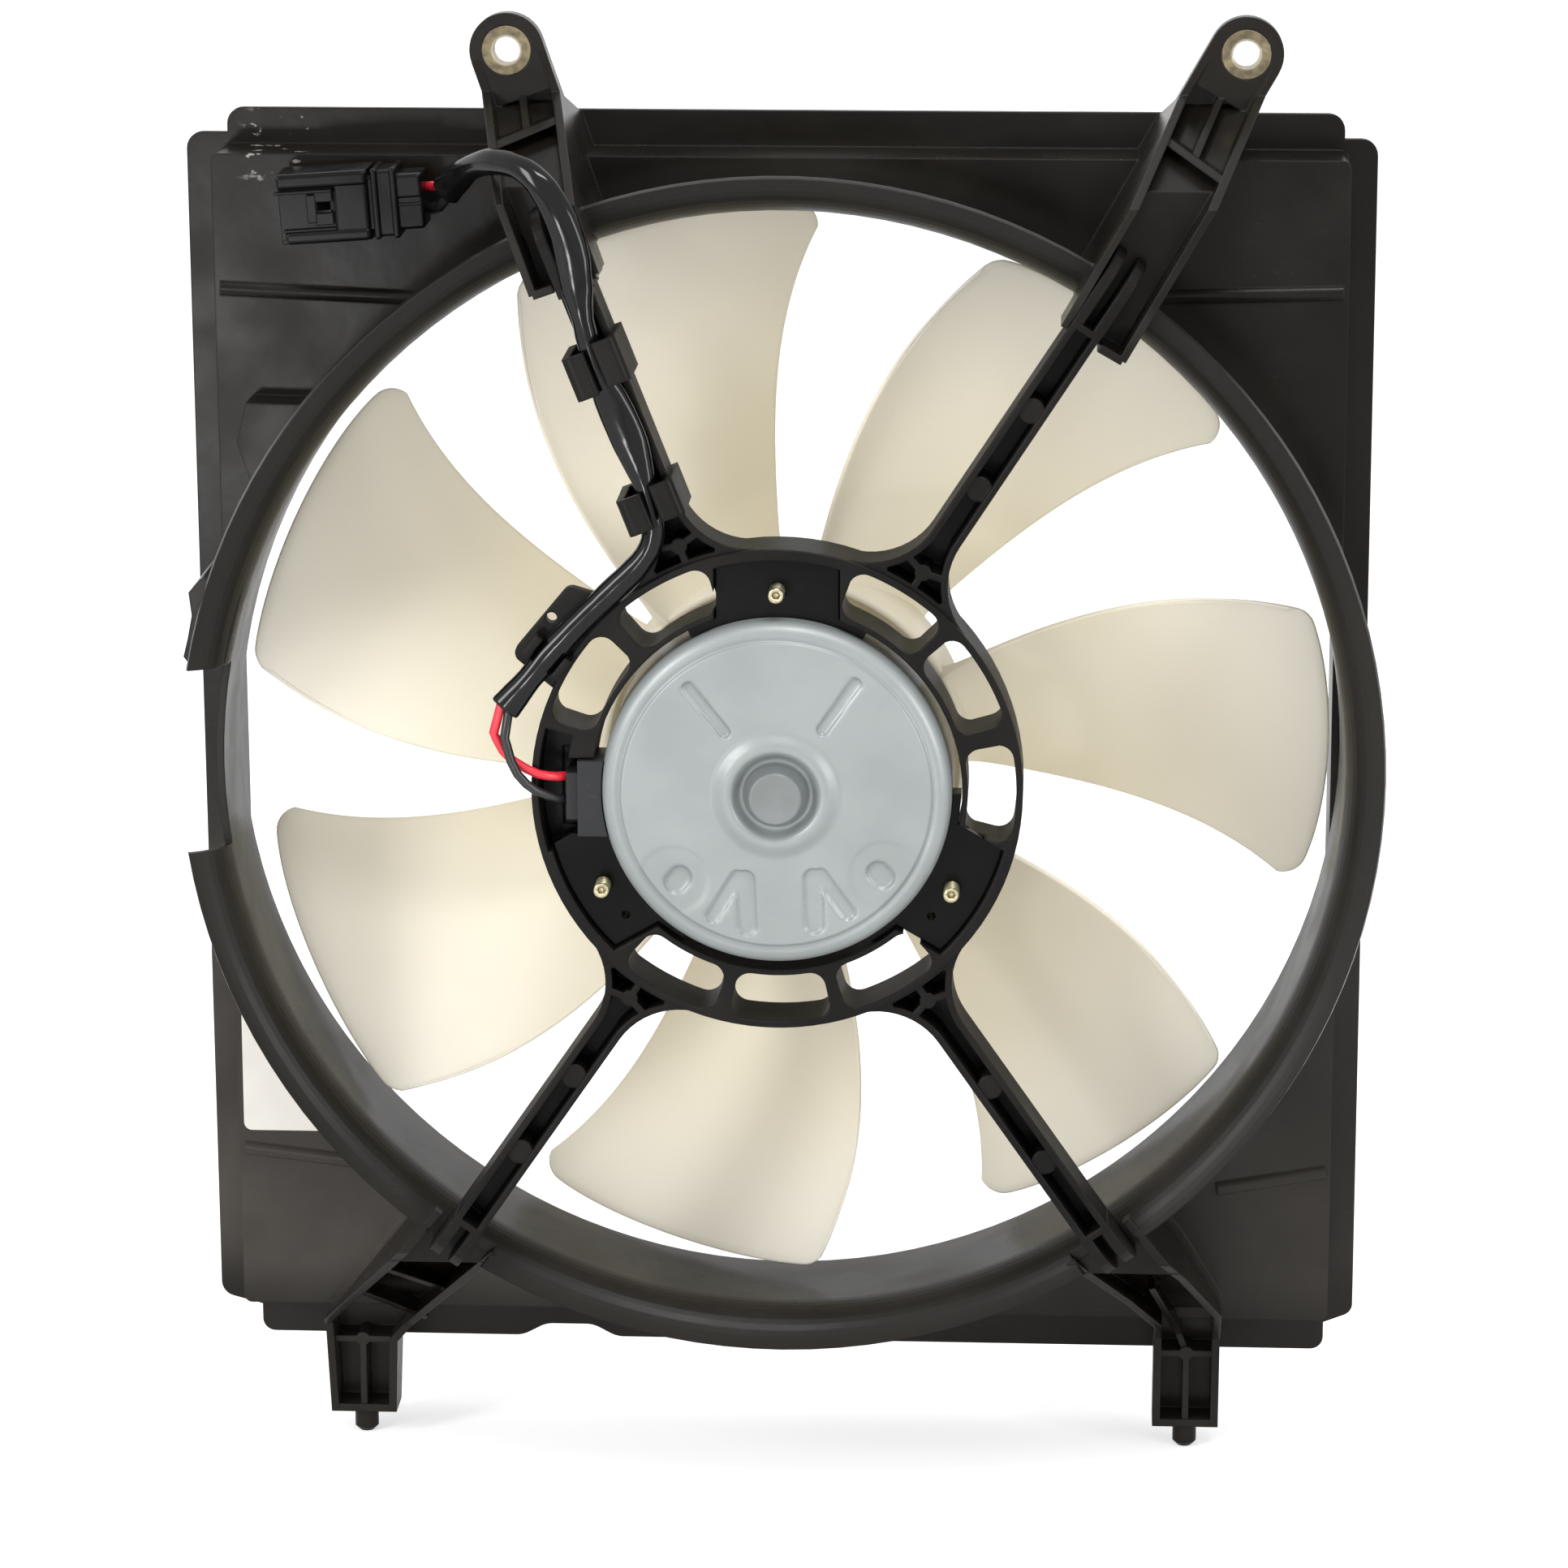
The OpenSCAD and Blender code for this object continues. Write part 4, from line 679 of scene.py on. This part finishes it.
# %% [markdown]
# The connector is a tight little moulding of walls, rails and a latch frame, with two ribs round its rear.
# It is put together from blocks in its own tilted frame, and a bevel modifier gives every edge the small
# radius that catches the light. Each group of blocks with one radius is a piece of its own.

# %% Connector
CONNECTOR_AT = (-127.6, 165.7, 12)
CONNECTOR_TILT = math.radians(4)
BLOCK_SIDES = ((0, 1, 3, 2), (4, 6, 7, 5), (0, 4, 5, 1), (2, 3, 7, 6), (0, 2, 6, 4), (1, 5, 7, 3))
BEVEL_STEPS = 3


def connector_place(x, y, z):
    u = CONNECTOR_AT[0] + x * math.cos(CONNECTOR_TILT) - y * math.sin(CONNECTOR_TILT)
    v = CONNECTOR_AT[1] + x * math.sin(CONNECTOR_TILT) + y * math.cos(CONNECTOR_TILT)
    return u, v, CONNECTOR_AT[2] + z


def blocks(name, boxes, radius, stands_for=()):
    points = []
    faces = []
    for x0, x1, y0, y1, z0, z1 in boxes:
        faces = faces + shifted(BLOCK_SIDES, len(points))
        points = points + [connector_place(x, y, z) for x in (x0, x1) for y in (y0, y1) for z in (z0, z1)]
    piece = make_piece(name, points, faces, connector_finish, "housing", stands_for)
    edge = piece.modifiers.new("edge", "BEVEL")
    edge.width = radius * MM
    edge.segments = BEVEL_STEPS
    edge.limit_method = "ANGLE"
    edge.harden_normals = True


# Each block runs along the connector, across it and out of it, from and to in turn
socket_boxes = [
    (-22, 5, 8.7, 10.5, -9, 8), (-22, 5, -10.5, -8.7, -9, 8), (-22, 5, -9.5, 9.5, -9, -7.2),
    (-22, -10.4, -9.5, 9.5, 7.2, 8.2), (-5.9, 5, -9.5, 9.5, 7.2, 8.2), (-11, -5, 1.6, 9.5, 7.2, 8.2),
    (-11, -5, -9.5, -1.6, 7.2, 8.2), (-7, 4.5, -9.6, 9.6, -8, 6.4)]
latch_boxes = [
    (-23, -5.6, 4.5, 5.5, 8, 10.6), (-13.6, -10.7, -4.4, 4, 8, 9.6), (-11.2, -5.8, 1.6, 4.7, 8, 9.4),
    (-11.2, -5.8, -5.2, -1.6, 8, 9.4), (-21, -5, -6.9, -6, 8, 9.7), (13.4, 20.6, -1.2, -0.2, 6, 8.4)]
rail_boxes = [(-22.3, 5, 6, 10.5, 6.2, 10.7), (-20.8, 5, -10.5, -6.6, 6.2, 10), (-5.6, 5, -8, 8, 6, 9.6)]
rear_boxes = [(4, 21, -8.25, 8.25, -7, 7.8), (12, 20.8, 1, 8.2, 3, 8.3)]
band_boxes = [
    (5.8, 8, -10.5, 10.5, -9, 9.6), (11.4, 13.6, -10.5, 10.5, -9, 9.6), (7, 12.4, -9.8, 9.8, -8.3, 8.6)]
blocks("connector_socket", socket_boxes, 0.4, ["connector_housing"])
blocks("connector_latch", latch_boxes, 0.35)
blocks("connector_rails", rail_boxes, 1.4)
blocks("connector_rear", rear_boxes, 1.1)
blocks("rear_band", band_boxes, 0.95, ["connector_retainer"])

# %% [markdown]
# A paper label is stuck on the lower left panel, with one corner behind the ring. It stays blank, and its
# corners are cut round. It is one flat outline with a trace of thickness, so that its edge casts a shadow.

# %% Blank label
LABEL_SIDES = (-170.2, -144)
LABEL_ENDS = (-127.6, -88)
LABEL_CORNER = 2.5
CORNER_STEP = 15
PANEL_FACE = -1.5
LABEL_GAP = 0.02
LABEL_THICK = 0.2

label_outline = []
for right, top, first in ((1, 1, 0), (0, 1, 90), (0, 0, 180), (1, 0, 270)):
    middle_u = LABEL_SIDES[right] + LABEL_CORNER * (1 - 2 * right)
    middle_v = LABEL_ENDS[top] + LABEL_CORNER * (1 - 2 * top)
    for turn in range(first, first + 91, CORNER_STEP):
        across, up = polar(LABEL_CORNER, math.radians(turn))
        label_outline.append((middle_u + across, middle_v + up))
count = len(label_outline)
label_points = [(u, v, PANEL_FACE + w) for w in (LABEL_GAP, LABEL_THICK) for u, v in label_outline]
label_faces = [tuple(range(count, 2 * count)), tuple(range(count - 1, -1, -1))]
label_faces = label_faces + grid_faces(2, count, True)
label = make_piece("blank_label", label_points, label_faces, label_finish, "housing")
label.data.polygons.foreach_set("use_smooth", [False] * len(label.data.polygons))

# %% [markdown]
# The can's face is one sheet, stamped all over: a bearing cup at the centre with a raised ring around it, two
# slanted grooves above, two folded grooves and two oval dimples below, and a step round the rim. A height
# over the face, sampled on a fine polar net, gives every stamped form its soft shoulders, which separate cut
# shapes could not. The forms mirror each other, so only the right half is described.

# %% Heights of the stamped face
STAMP_TURN = math.radians(2.1)
# A height, the radii over which it rises and the radii over which it falls again
CUP_RINGS = ((5.0, (-2, -1), (7.3, 9.3)), (-1.6, (8.6, 9.9), (10.6, 12.6)), (2.0, (10.8, 13.8), (14.6, 19.5)))
# Two ends of a pressed form, its half width and the half width of its shoulder
UPPER_GROOVE = ((24.4, 32.8), (14.4, 19.3), 1.7, 0.45)
SLANTED_LEG = ((12.2, -24.6), (20, -36.2), 2.1, 0.45)
UPRIGHT_LEG = ((10, -25.4), (9.9, -39.6), 2.8, 0.45)
DIMPLE_PLATE = ((31, -25), (31.2, -25), 10.2, 0.8)
DIMPLE = ((30.6, -25.8), (29.2, -24.2), 3.3, 0.7)
UPPER_DEPTH = 1.3
FOLDED_DEPTH = 1.2
PLATE_DEPTH = 0.25
DIMPLE_DEPTH = 1.4
RIM_DEPTH = 1.0
RIM_STEP = (45.2, 46.2)


def pressed(u, v, a, b, half, shoulder):
    run = (b[0] - a[0], b[1] - a[1])
    t = ((u - a[0]) * run[0] + (v - a[1]) * run[1]) / (run[0] ** 2 + run[1] ** 2)
    t = min(1.0, max(0.0, t))
    away = math.hypot(u - a[0] - t * run[0], v - a[1] - t * run[1])
    return 1 - step(away, half - shoulder, half + shoulder)


def stamped_height(u, v):
    r = math.hypot(u, v)
    x = abs(u * math.cos(STAMP_TURN) + v * math.sin(STAMP_TURN))
    y = v * math.cos(STAMP_TURN) - u * math.sin(STAMP_TURN)
    height = sum(level * step(r, *rise) * (1 - step(r, *fall)) for level, rise, fall in CUP_RINGS)
    height = height - UPPER_DEPTH * pressed(x, y, *UPPER_GROOVE)
    height = height - FOLDED_DEPTH * max(pressed(x, y, *SLANTED_LEG), pressed(x, y, *UPRIGHT_LEG))
    height = height - PLATE_DEPTH * pressed(x, y, *DIMPLE_PLATE)
    height = height - DIMPLE_DEPTH * pressed(x, y, *DIMPLE)
    return height - RIM_DEPTH * step(r, *RIM_STEP)


print("height at the centre of the can", round(stamped_height(0, 0), 2))

# %% Stamped motor can
CAN_R = 51.5
CAN_FACE = 69
CAN_EDGE_R = 5
CAN_BACK = 28
CAN_SIDES = 360
CENTRE_R = 0.4
CUP_END = 22
CUP_ROWS = 62
ROW_GAP = 0.3
FACE_ROWS = 82
EDGE_ROWS = 8
EDGE_DROP = 0.4


def can_rows():
    rows = [(r, None) for r in np.linspace(CENTRE_R, CUP_END, CUP_ROWS)]
    rows = rows + [(r, None) for r in np.linspace(CUP_END + ROW_GAP, CAN_R - CAN_EDGE_R, FACE_ROWS)]
    for k in range(1, EDGE_ROWS + 1):
        a = math.radians(90 * k / EDGE_ROWS)
        drop = EDGE_DROP + (CAN_EDGE_R - EDGE_DROP) * (1 - math.cos(a))
        rows.append((CAN_R - CAN_EDGE_R + CAN_EDGE_R * math.sin(a), CAN_FACE - drop))
    return rows + [(CAN_R, CAN_BACK + 1), (CAN_R - 0.4, CAN_BACK), (CAN_R - 1.6, CAN_BACK)]


can_points = []
for r, fixed in can_rows():
    for k in range(CAN_SIDES):
        u, v = polar(r, 2 * math.pi * k / CAN_SIDES)
        can_points.append((u, v, fixed if fixed is not None else CAN_FACE + stamped_height(u, v)))
can_faces = grid_faces(len(can_rows()), CAN_SIDES, True)
can_faces.append(tuple(range(CAN_SIDES - 1, -1, -1)))
make_piece("stamped_can", can_points, can_faces, can_finish, "housing", ["motor_can"])

# %% [markdown]
# The three screws come up through the stay's pockets. Their ends show a real thread, one ridge that climbs by
# its pitch in each turn, and a hexagonal socket. The rows of one screw go up from its head, and each row
# says whether it is round, hexagonal or threaded.

# %% Threaded screws
SCREW_R = 2.5
SCREW_END = 68.5
SCREW_CIRCLE_R = 59.5
SCREW_ANGLES = (90, 210, 330)
SCREW_SIDES = 48
THREAD_FROM = 58
THREAD_ROW = 0.1
THREAD_PITCH = 0.8
THREAD_DEPTH = 0.42
SOCKET_R = 1.25
SOCKET_DEPTH = 2
HEAD_SCALE = 0.866
SOCKET_SCALE = 0.93


def hexagon(angle):
    sector = math.radians(60)
    return 1.0 / math.cos((angle % sector) - sector / 2)


def screw_rows():
    rows = [
        (39.4, 0, "hex"), (39.4, 4.5, "hex"), (43, 4.5, "hex"), (43, 5, "round"), (44, 5, "round"),
        (44, SCREW_R, "round")]
    rows = rows + [(float(w), SCREW_R, "thread") for w in np.arange(THREAD_FROM, SCREW_END - 0.5, THREAD_ROW)]
    return rows + [
        (SCREW_END - 0.45, SCREW_R - 0.1, "round"), (SCREW_END, SCREW_R - 0.55, "round"),
        (SCREW_END, SOCKET_R, "socket"), (SCREW_END - SOCKET_DEPTH, SOCKET_R, "socket"),
        (SCREW_END - SOCKET_DEPTH, 0, "round")]


def screw_radius(w, r, kind, k):
    angle = 2 * math.pi * k / SCREW_SIDES
    if kind == "thread":
        phase = (w / THREAD_PITCH + k / SCREW_SIDES) % 1
        return r - THREAD_DEPTH * abs(2 * phase - 1)
    if kind == "hex":
        return r * HEAD_SCALE * hexagon(angle)
    if kind == "socket":
        return r * hexagon(angle) * SOCKET_SCALE
    return r


screw_points = []
screw_faces = []
for screw_angle in SCREW_ANGLES:
    middle_u, middle_v = polar(SCREW_CIRCLE_R, math.radians(screw_angle))
    screw_faces = screw_faces + shifted(grid_faces(len(screw_rows()), SCREW_SIDES, True), len(screw_points))
    for w, r, kind in screw_rows():
        for k in range(SCREW_SIDES):
            across, up = polar(screw_radius(w, r, kind, k), 2 * math.pi * k / SCREW_SIDES)
            screw_points.append((middle_u + across, middle_v + up, w))
make_piece("threaded_screws", screw_points, screw_faces, screw_finish, "housing", ["motor_screws"])

# %% [markdown]
# The fan is moulded in unfilled nylon, which lets some light through: a blade glows cream where it is lit
# from behind. A translucent shader mixed into the plain one does that. Toward the tips the cream turns
# paler, since the blade is thinner there.

# %% Nylon of the fan
NYLON_LIGHT = (0.922, 0.876, 0.748)
NYLON_DEEP = (0.897, 0.846, 0.703)
NYLON_TIP = (0.87, 0.855, 0.81)
NYLON_GLOW = (0.95, 0.9, 0.76)
TIP_TURNS_PALE = (95, 165)
TIP_SHARE = 0.7
GLOW_SHARE = 0.34
FLOW_SIZE = 60


def nylon():
    finish, start = new_finish("fan_nylon")
    flow = mask(start, grain(start, FLOW_SIZE, 3), 0.3, 0.75)
    outward = mask(start, from_axis(start, 0, 0), *TIP_TURNS_PALE)
    tone = blend_colours(start, flow, colour(*NYLON_LIGHT), colour(*NYLON_DEEP))
    tone = blend_colours(start, outward * TIP_SHARE, tone, colour(*NYLON_TIP))
    normal = bump(start, grain(start, 0.6, 2), 0.03, 0.2)
    normal = bump(start, grain(start, 25, 2), 0.5, 0.1, normal)
    skin = start.node("ShaderNodeBsdfPrincipled", {}, {
        "Base Color": tone, "Roughness": 0.36 + flow * 0.08, "Normal": normal, "Specular IOR Level": 0.4})
    glow = start.node("ShaderNodeBsdfTranslucent", {}, {"Color": colour(*NYLON_GLOW), "Normal": normal})
    shader = start.node("ShaderNodeMixShader", {}, {0: GLOW_SHARE, 1: skin, 2: glow})
    start.node("ShaderNodeOutputMaterial", {}, {"Surface": shader})
    return finish


fan_finish = nylon()
print("share of light let through", GLOW_SHARE)

# %% [markdown]
# The fan is one moulding: a cup-shaped hub that surrounds the motor, and seven blades. Each blade is a thin
# curved sheet, swept forward at its tip, thicker in the middle and thin at both edges, with rounded corners
# and edges. A net over span and chord gives both skins, and the skins part by the blade's thickness. Span
# and chord run from 0 to 1, from the root to the tip and from the leading edge to the trailing one.

# %% Form of a blade
FAN_R = 164.5
ROOT_R = 53.75
LEAD_ANGLE = 42
LEAD_SWEEP = 6.5
LEAD_CURVE = 2.6
TRAIL_ANGLE = 81
TRAIL_LEAN = 3.5
TRAIL_SWEEP = 9
LEAD_CORNER = 2.5
TRAIL_CORNER = 1.5
CORNER_CURVE = 9
TIP_CHORD = 88
TIP_ROUND = 6
BLADE_BACK = -18
BLADE_FRONT = 22
BACK_RISE = 4
FRONT_FALL = 5
CAMBER = 16
ROOT_THICK = 3.4
TIP_THICK = 2.0
EDGE_SHARE = 0.45
EDGE_ROUND = 0.8
EDGE_LEAST = 0.04
FILLET = 1.6
FILLET_FADE = 28


def round_drop(x):
    if x < 0 or x >= TIP_ROUND:
        return 0.0
    return TIP_ROUND - math.sqrt(TIP_ROUND ** 2 - (TIP_ROUND - x) ** 2)


def tip_radius(t):
    corners = LEAD_CORNER * (1 - t) ** CORNER_CURVE + TRAIL_CORNER * t ** CORNER_CURVE
    return FAN_R - corners - round_drop(t * TIP_CHORD) - round_drop((1 - t) * TIP_CHORD)


def blade_point(f, t):
    lead = LEAD_ANGLE - LEAD_SWEEP * f ** LEAD_CURVE
    trail = TRAIL_ANGLE - TRAIL_LEAN * f - TRAIL_SWEEP * f * f
    u, v = polar(ROOT_R + f * (tip_radius(t) - ROOT_R), math.radians(lead + (trail - lead) * t))
    back = BLADE_BACK + BACK_RISE * f
    front = BLADE_FRONT - FRONT_FALL * f
    return Vector((u, v, back + (front - back) * t - CAMBER * t * (1 - t)))


def round_edge(depth):
    return math.sqrt(max(EDGE_LEAST, 1 - max(0.0, 1 - depth / EDGE_ROUND) ** 2))


def blade_half(f, t):
    fullness = EDGE_SHARE + (1 - EDGE_SHARE) * math.sin(math.pi * t)
    body = (ROOT_THICK + (TIP_THICK - ROOT_THICK) * f) * fullness / 2
    to_edge = round_edge(min(t, 1 - t) * TIP_CHORD)
    to_tip = round_edge((1 - f) * (FAN_R - ROOT_R))
    return body * min(to_edge, to_tip) + FILLET * math.exp(-f * FILLET_FADE)


print("blade thickness halfway out", round(2 * blade_half(0.5, 0.5), 2))

# %% Net of a blade
SPAN_STEPS = 36
CHORD_STEPS = 40
# Places over the span, with the last ones close together where the tip is rounded
SPAN_PLACES = [j / SPAN_STEPS for j in range(SPAN_STEPS)] + [0.9935, 0.9978, 1.0]
NUDGE = 0.01


def blade_skin(f, t, side):
    near_f = min(f, 1 - NUDGE)
    near_t = min(t, 1 - NUDGE)
    span_run = blade_point(near_f + NUDGE, near_t) - blade_point(near_f, near_t)
    chord_run = blade_point(near_f, near_t + NUDGE) - blade_point(near_f, near_t)
    return blade_point(f, t) + span_run.cross(chord_run).normalized() * blade_half(f, t) * side


def turned(p, turn):
    u = p.x * math.cos(turn) - p.y * math.sin(turn)
    v = p.x * math.sin(turn) + p.y * math.cos(turn)
    return (u, v, p.z)


def blade_net(turn):
    chord_places = [(1 - math.cos(math.pi * i / CHORD_STEPS)) / 2 for i in range(CHORD_STEPS + 1)]
    points = []
    for f in SPAN_PLACES:
        points = points + [turned(blade_skin(f, t, 1), turn) for t in chord_places]
        points = points + [turned(blade_skin(f, 1 - t, -1), turn) for t in chord_places]
    columns = 2 * (CHORD_STEPS + 1)
    faces = grid_faces(len(SPAN_PLACES), columns, True)
    last = (len(SPAN_PLACES) - 1) * columns
    for i in range(CHORD_STEPS):
        faces.append((last + i, last + i + 1, last + columns - 2 - i, last + columns - 1 - i))
    return points, faces


print("points in a blade", len(blade_net(0)[0]))

# %% [markdown]
# The hub is turned from its section like clay on a wheel, and the blades are joined on as they are: their
# roots end inside the hub's wall, so no seam shows.

# %% Hub with its blades
BLADES = 7
HUB_SIDES = 192
# Radius and height along the section of the hub
hub_section = [
    (8, -16), (50, -16), (52.5, -15.6), (54.3, -14.3), (55, -12.4), (55, 20.8), (54.7, 21.7), (54, 22),
    (53.2, 22), (52.6, 21.6), (52.4, 20.8), (52.4, -12.2), (51, -13.4), (12.6, -13.4), (12, -12.8), (12, 3),
    (8, 3), (8, -16)]

fan_points = []
for r, w in hub_section:
    for k in range(HUB_SIDES):
        fan_points.append((*polar(r, 2 * math.pi * k / HUB_SIDES), w))
fan_faces = grid_faces(len(hub_section), HUB_SIDES, True)
for k in range(BLADES):
    points, faces = blade_net(math.radians(k * 360 / BLADES))
    fan_faces = fan_faces + shifted(faces, len(fan_points))
    fan_points = fan_points + points
make_piece("moulded_fan", fan_points, fan_faces, fan_finish, "rotor", ["fan"])

# %% [markdown]
# The fan stands on a pale floor in front of white. Only what the camera, mirrors and clear things see
# directly is made white, so the light on the part itself stays soft and plain, and the floor keeps the
# part's shadow.

# %% Floor
FLOOR_REACH = 6
FLOOR_LIFT = 0.5


def pale_floor():
    finish, start = new_finish("floor_paper")
    seen = start.node("ShaderNodeLightPath", output="Is Camera Ray")
    speckle = mask(start, grain(start, 4, 2), 0.2, 0.9)
    tone = blend_colours(start, speckle, colour(0.86, 0.86, 0.86), colour(0.89, 0.89, 0.89))
    paper = start.node("ShaderNodeBsdfDiffuse", {}, {"Color": tone})
    glow = start.node("ShaderNodeEmission", {}, {"Color": colour(1, 1, 1), "Strength": FLOOR_LIFT})
    lifted = start.node("ShaderNodeAddShader", {}, {0: paper, 1: glow})
    shader = start.node("ShaderNodeMixShader", {}, {0: seen, 1: paper, 2: lifted})
    start.node("ShaderNodeOutputMaterial", {}, {"Surface": shader})
    return finish


floor_z = cad_box[0][2]
floor_corners = [
    (x * FLOOR_REACH, y * FLOOR_REACH, floor_z) for x, y in ((-1, -1), (1, -1), (1, 1), (-1, 1))]
floor_mesh = bpy.data.meshes.new("floor")
floor_mesh.from_pydata(floor_corners, [], [(0, 1, 2, 3)])
floor_mesh.materials.append(pale_floor())
floor = bpy.data.objects.new("floor", floor_mesh)
scene.collection.objects.link(floor)
print("floor at", round(floor_z, 4))

# %% White surroundings
ROOM_LIGHT = 0.84

world = bpy.data.worlds.new("white_room")
world.use_nodes = True
world.node_tree.nodes.clear()
start = Flow(world.node_tree, None)
seen = start.node("ShaderNodeLightPath", output="Is Camera Ray")
mirrored = start.node("ShaderNodeLightPath", output="Is Glossy Ray")
passed = start.node("ShaderNodeLightPath", output="Is Transmission Ray")
direct = start.sum("MINIMUM", seen + mirrored + passed, 1.0)
sky = start.node("ShaderNodeBackground", {}, {
    "Color": colour(1, 1, 1), "Strength": at_least(ROOM_LIGHT, direct)})
start.node("ShaderNodeOutputWorld", {}, {"Surface": sky})
scene.world = world
print("light of the room", ROOM_LIGHT)


# %% [markdown]
# Four soft lamps stand round the fan like panels in a studio. A tall window on the left and a wide panel
# above give the black mouldings their shine, a fill on the right opens the shadows, and a small low window
# puts a sheen on the lower left of the shroud.

# %% Lamps
MIDDLE = (-0.03, 0.0, -0.21)
# Where each lamp stands, what it is turned to, its width and height in metres, and its power in watts
LAMPS = {
    "left_window": ((-1.5, -1.3, 0.6), MIDDLE, (0.5, 1.1), 20),
    "top_panel": ((0.2, -0.8, 1.5), MIDDLE, (0.9, 0.25), 14),
    "right_fill": ((1.6, -1.2, 0.2), MIDDLE, (0.4, 1.0), 10),
    "low_window": ((-0.52, -1.6, -0.37), (-0.19, 0, -0.1), (0.24, 0.11), 2.2),
}


def soft_lamp(name, at, aim, size, power):
    data = bpy.data.lights.new(name, "AREA")
    data.shape = "RECTANGLE"
    data.size = size[0]
    data.size_y = size[1]
    data.energy = power
    lamp = bpy.data.objects.new(name, data)
    lamp.location = at
    lamp.rotation_mode = "QUATERNION"
    lamp.rotation_quaternion = (Vector(aim) - Vector(at)).to_track_quat("-Z", "Y")
    lamp.visible_camera = False
    scene.collection.objects.link(lamp)


for name, (at, aim, size, power) in LAMPS.items():
    soft_lamp(name, at, aim, size, power)
scene.view_settings.view_transform = "Standard"
print("lamps:", len(LAMPS))
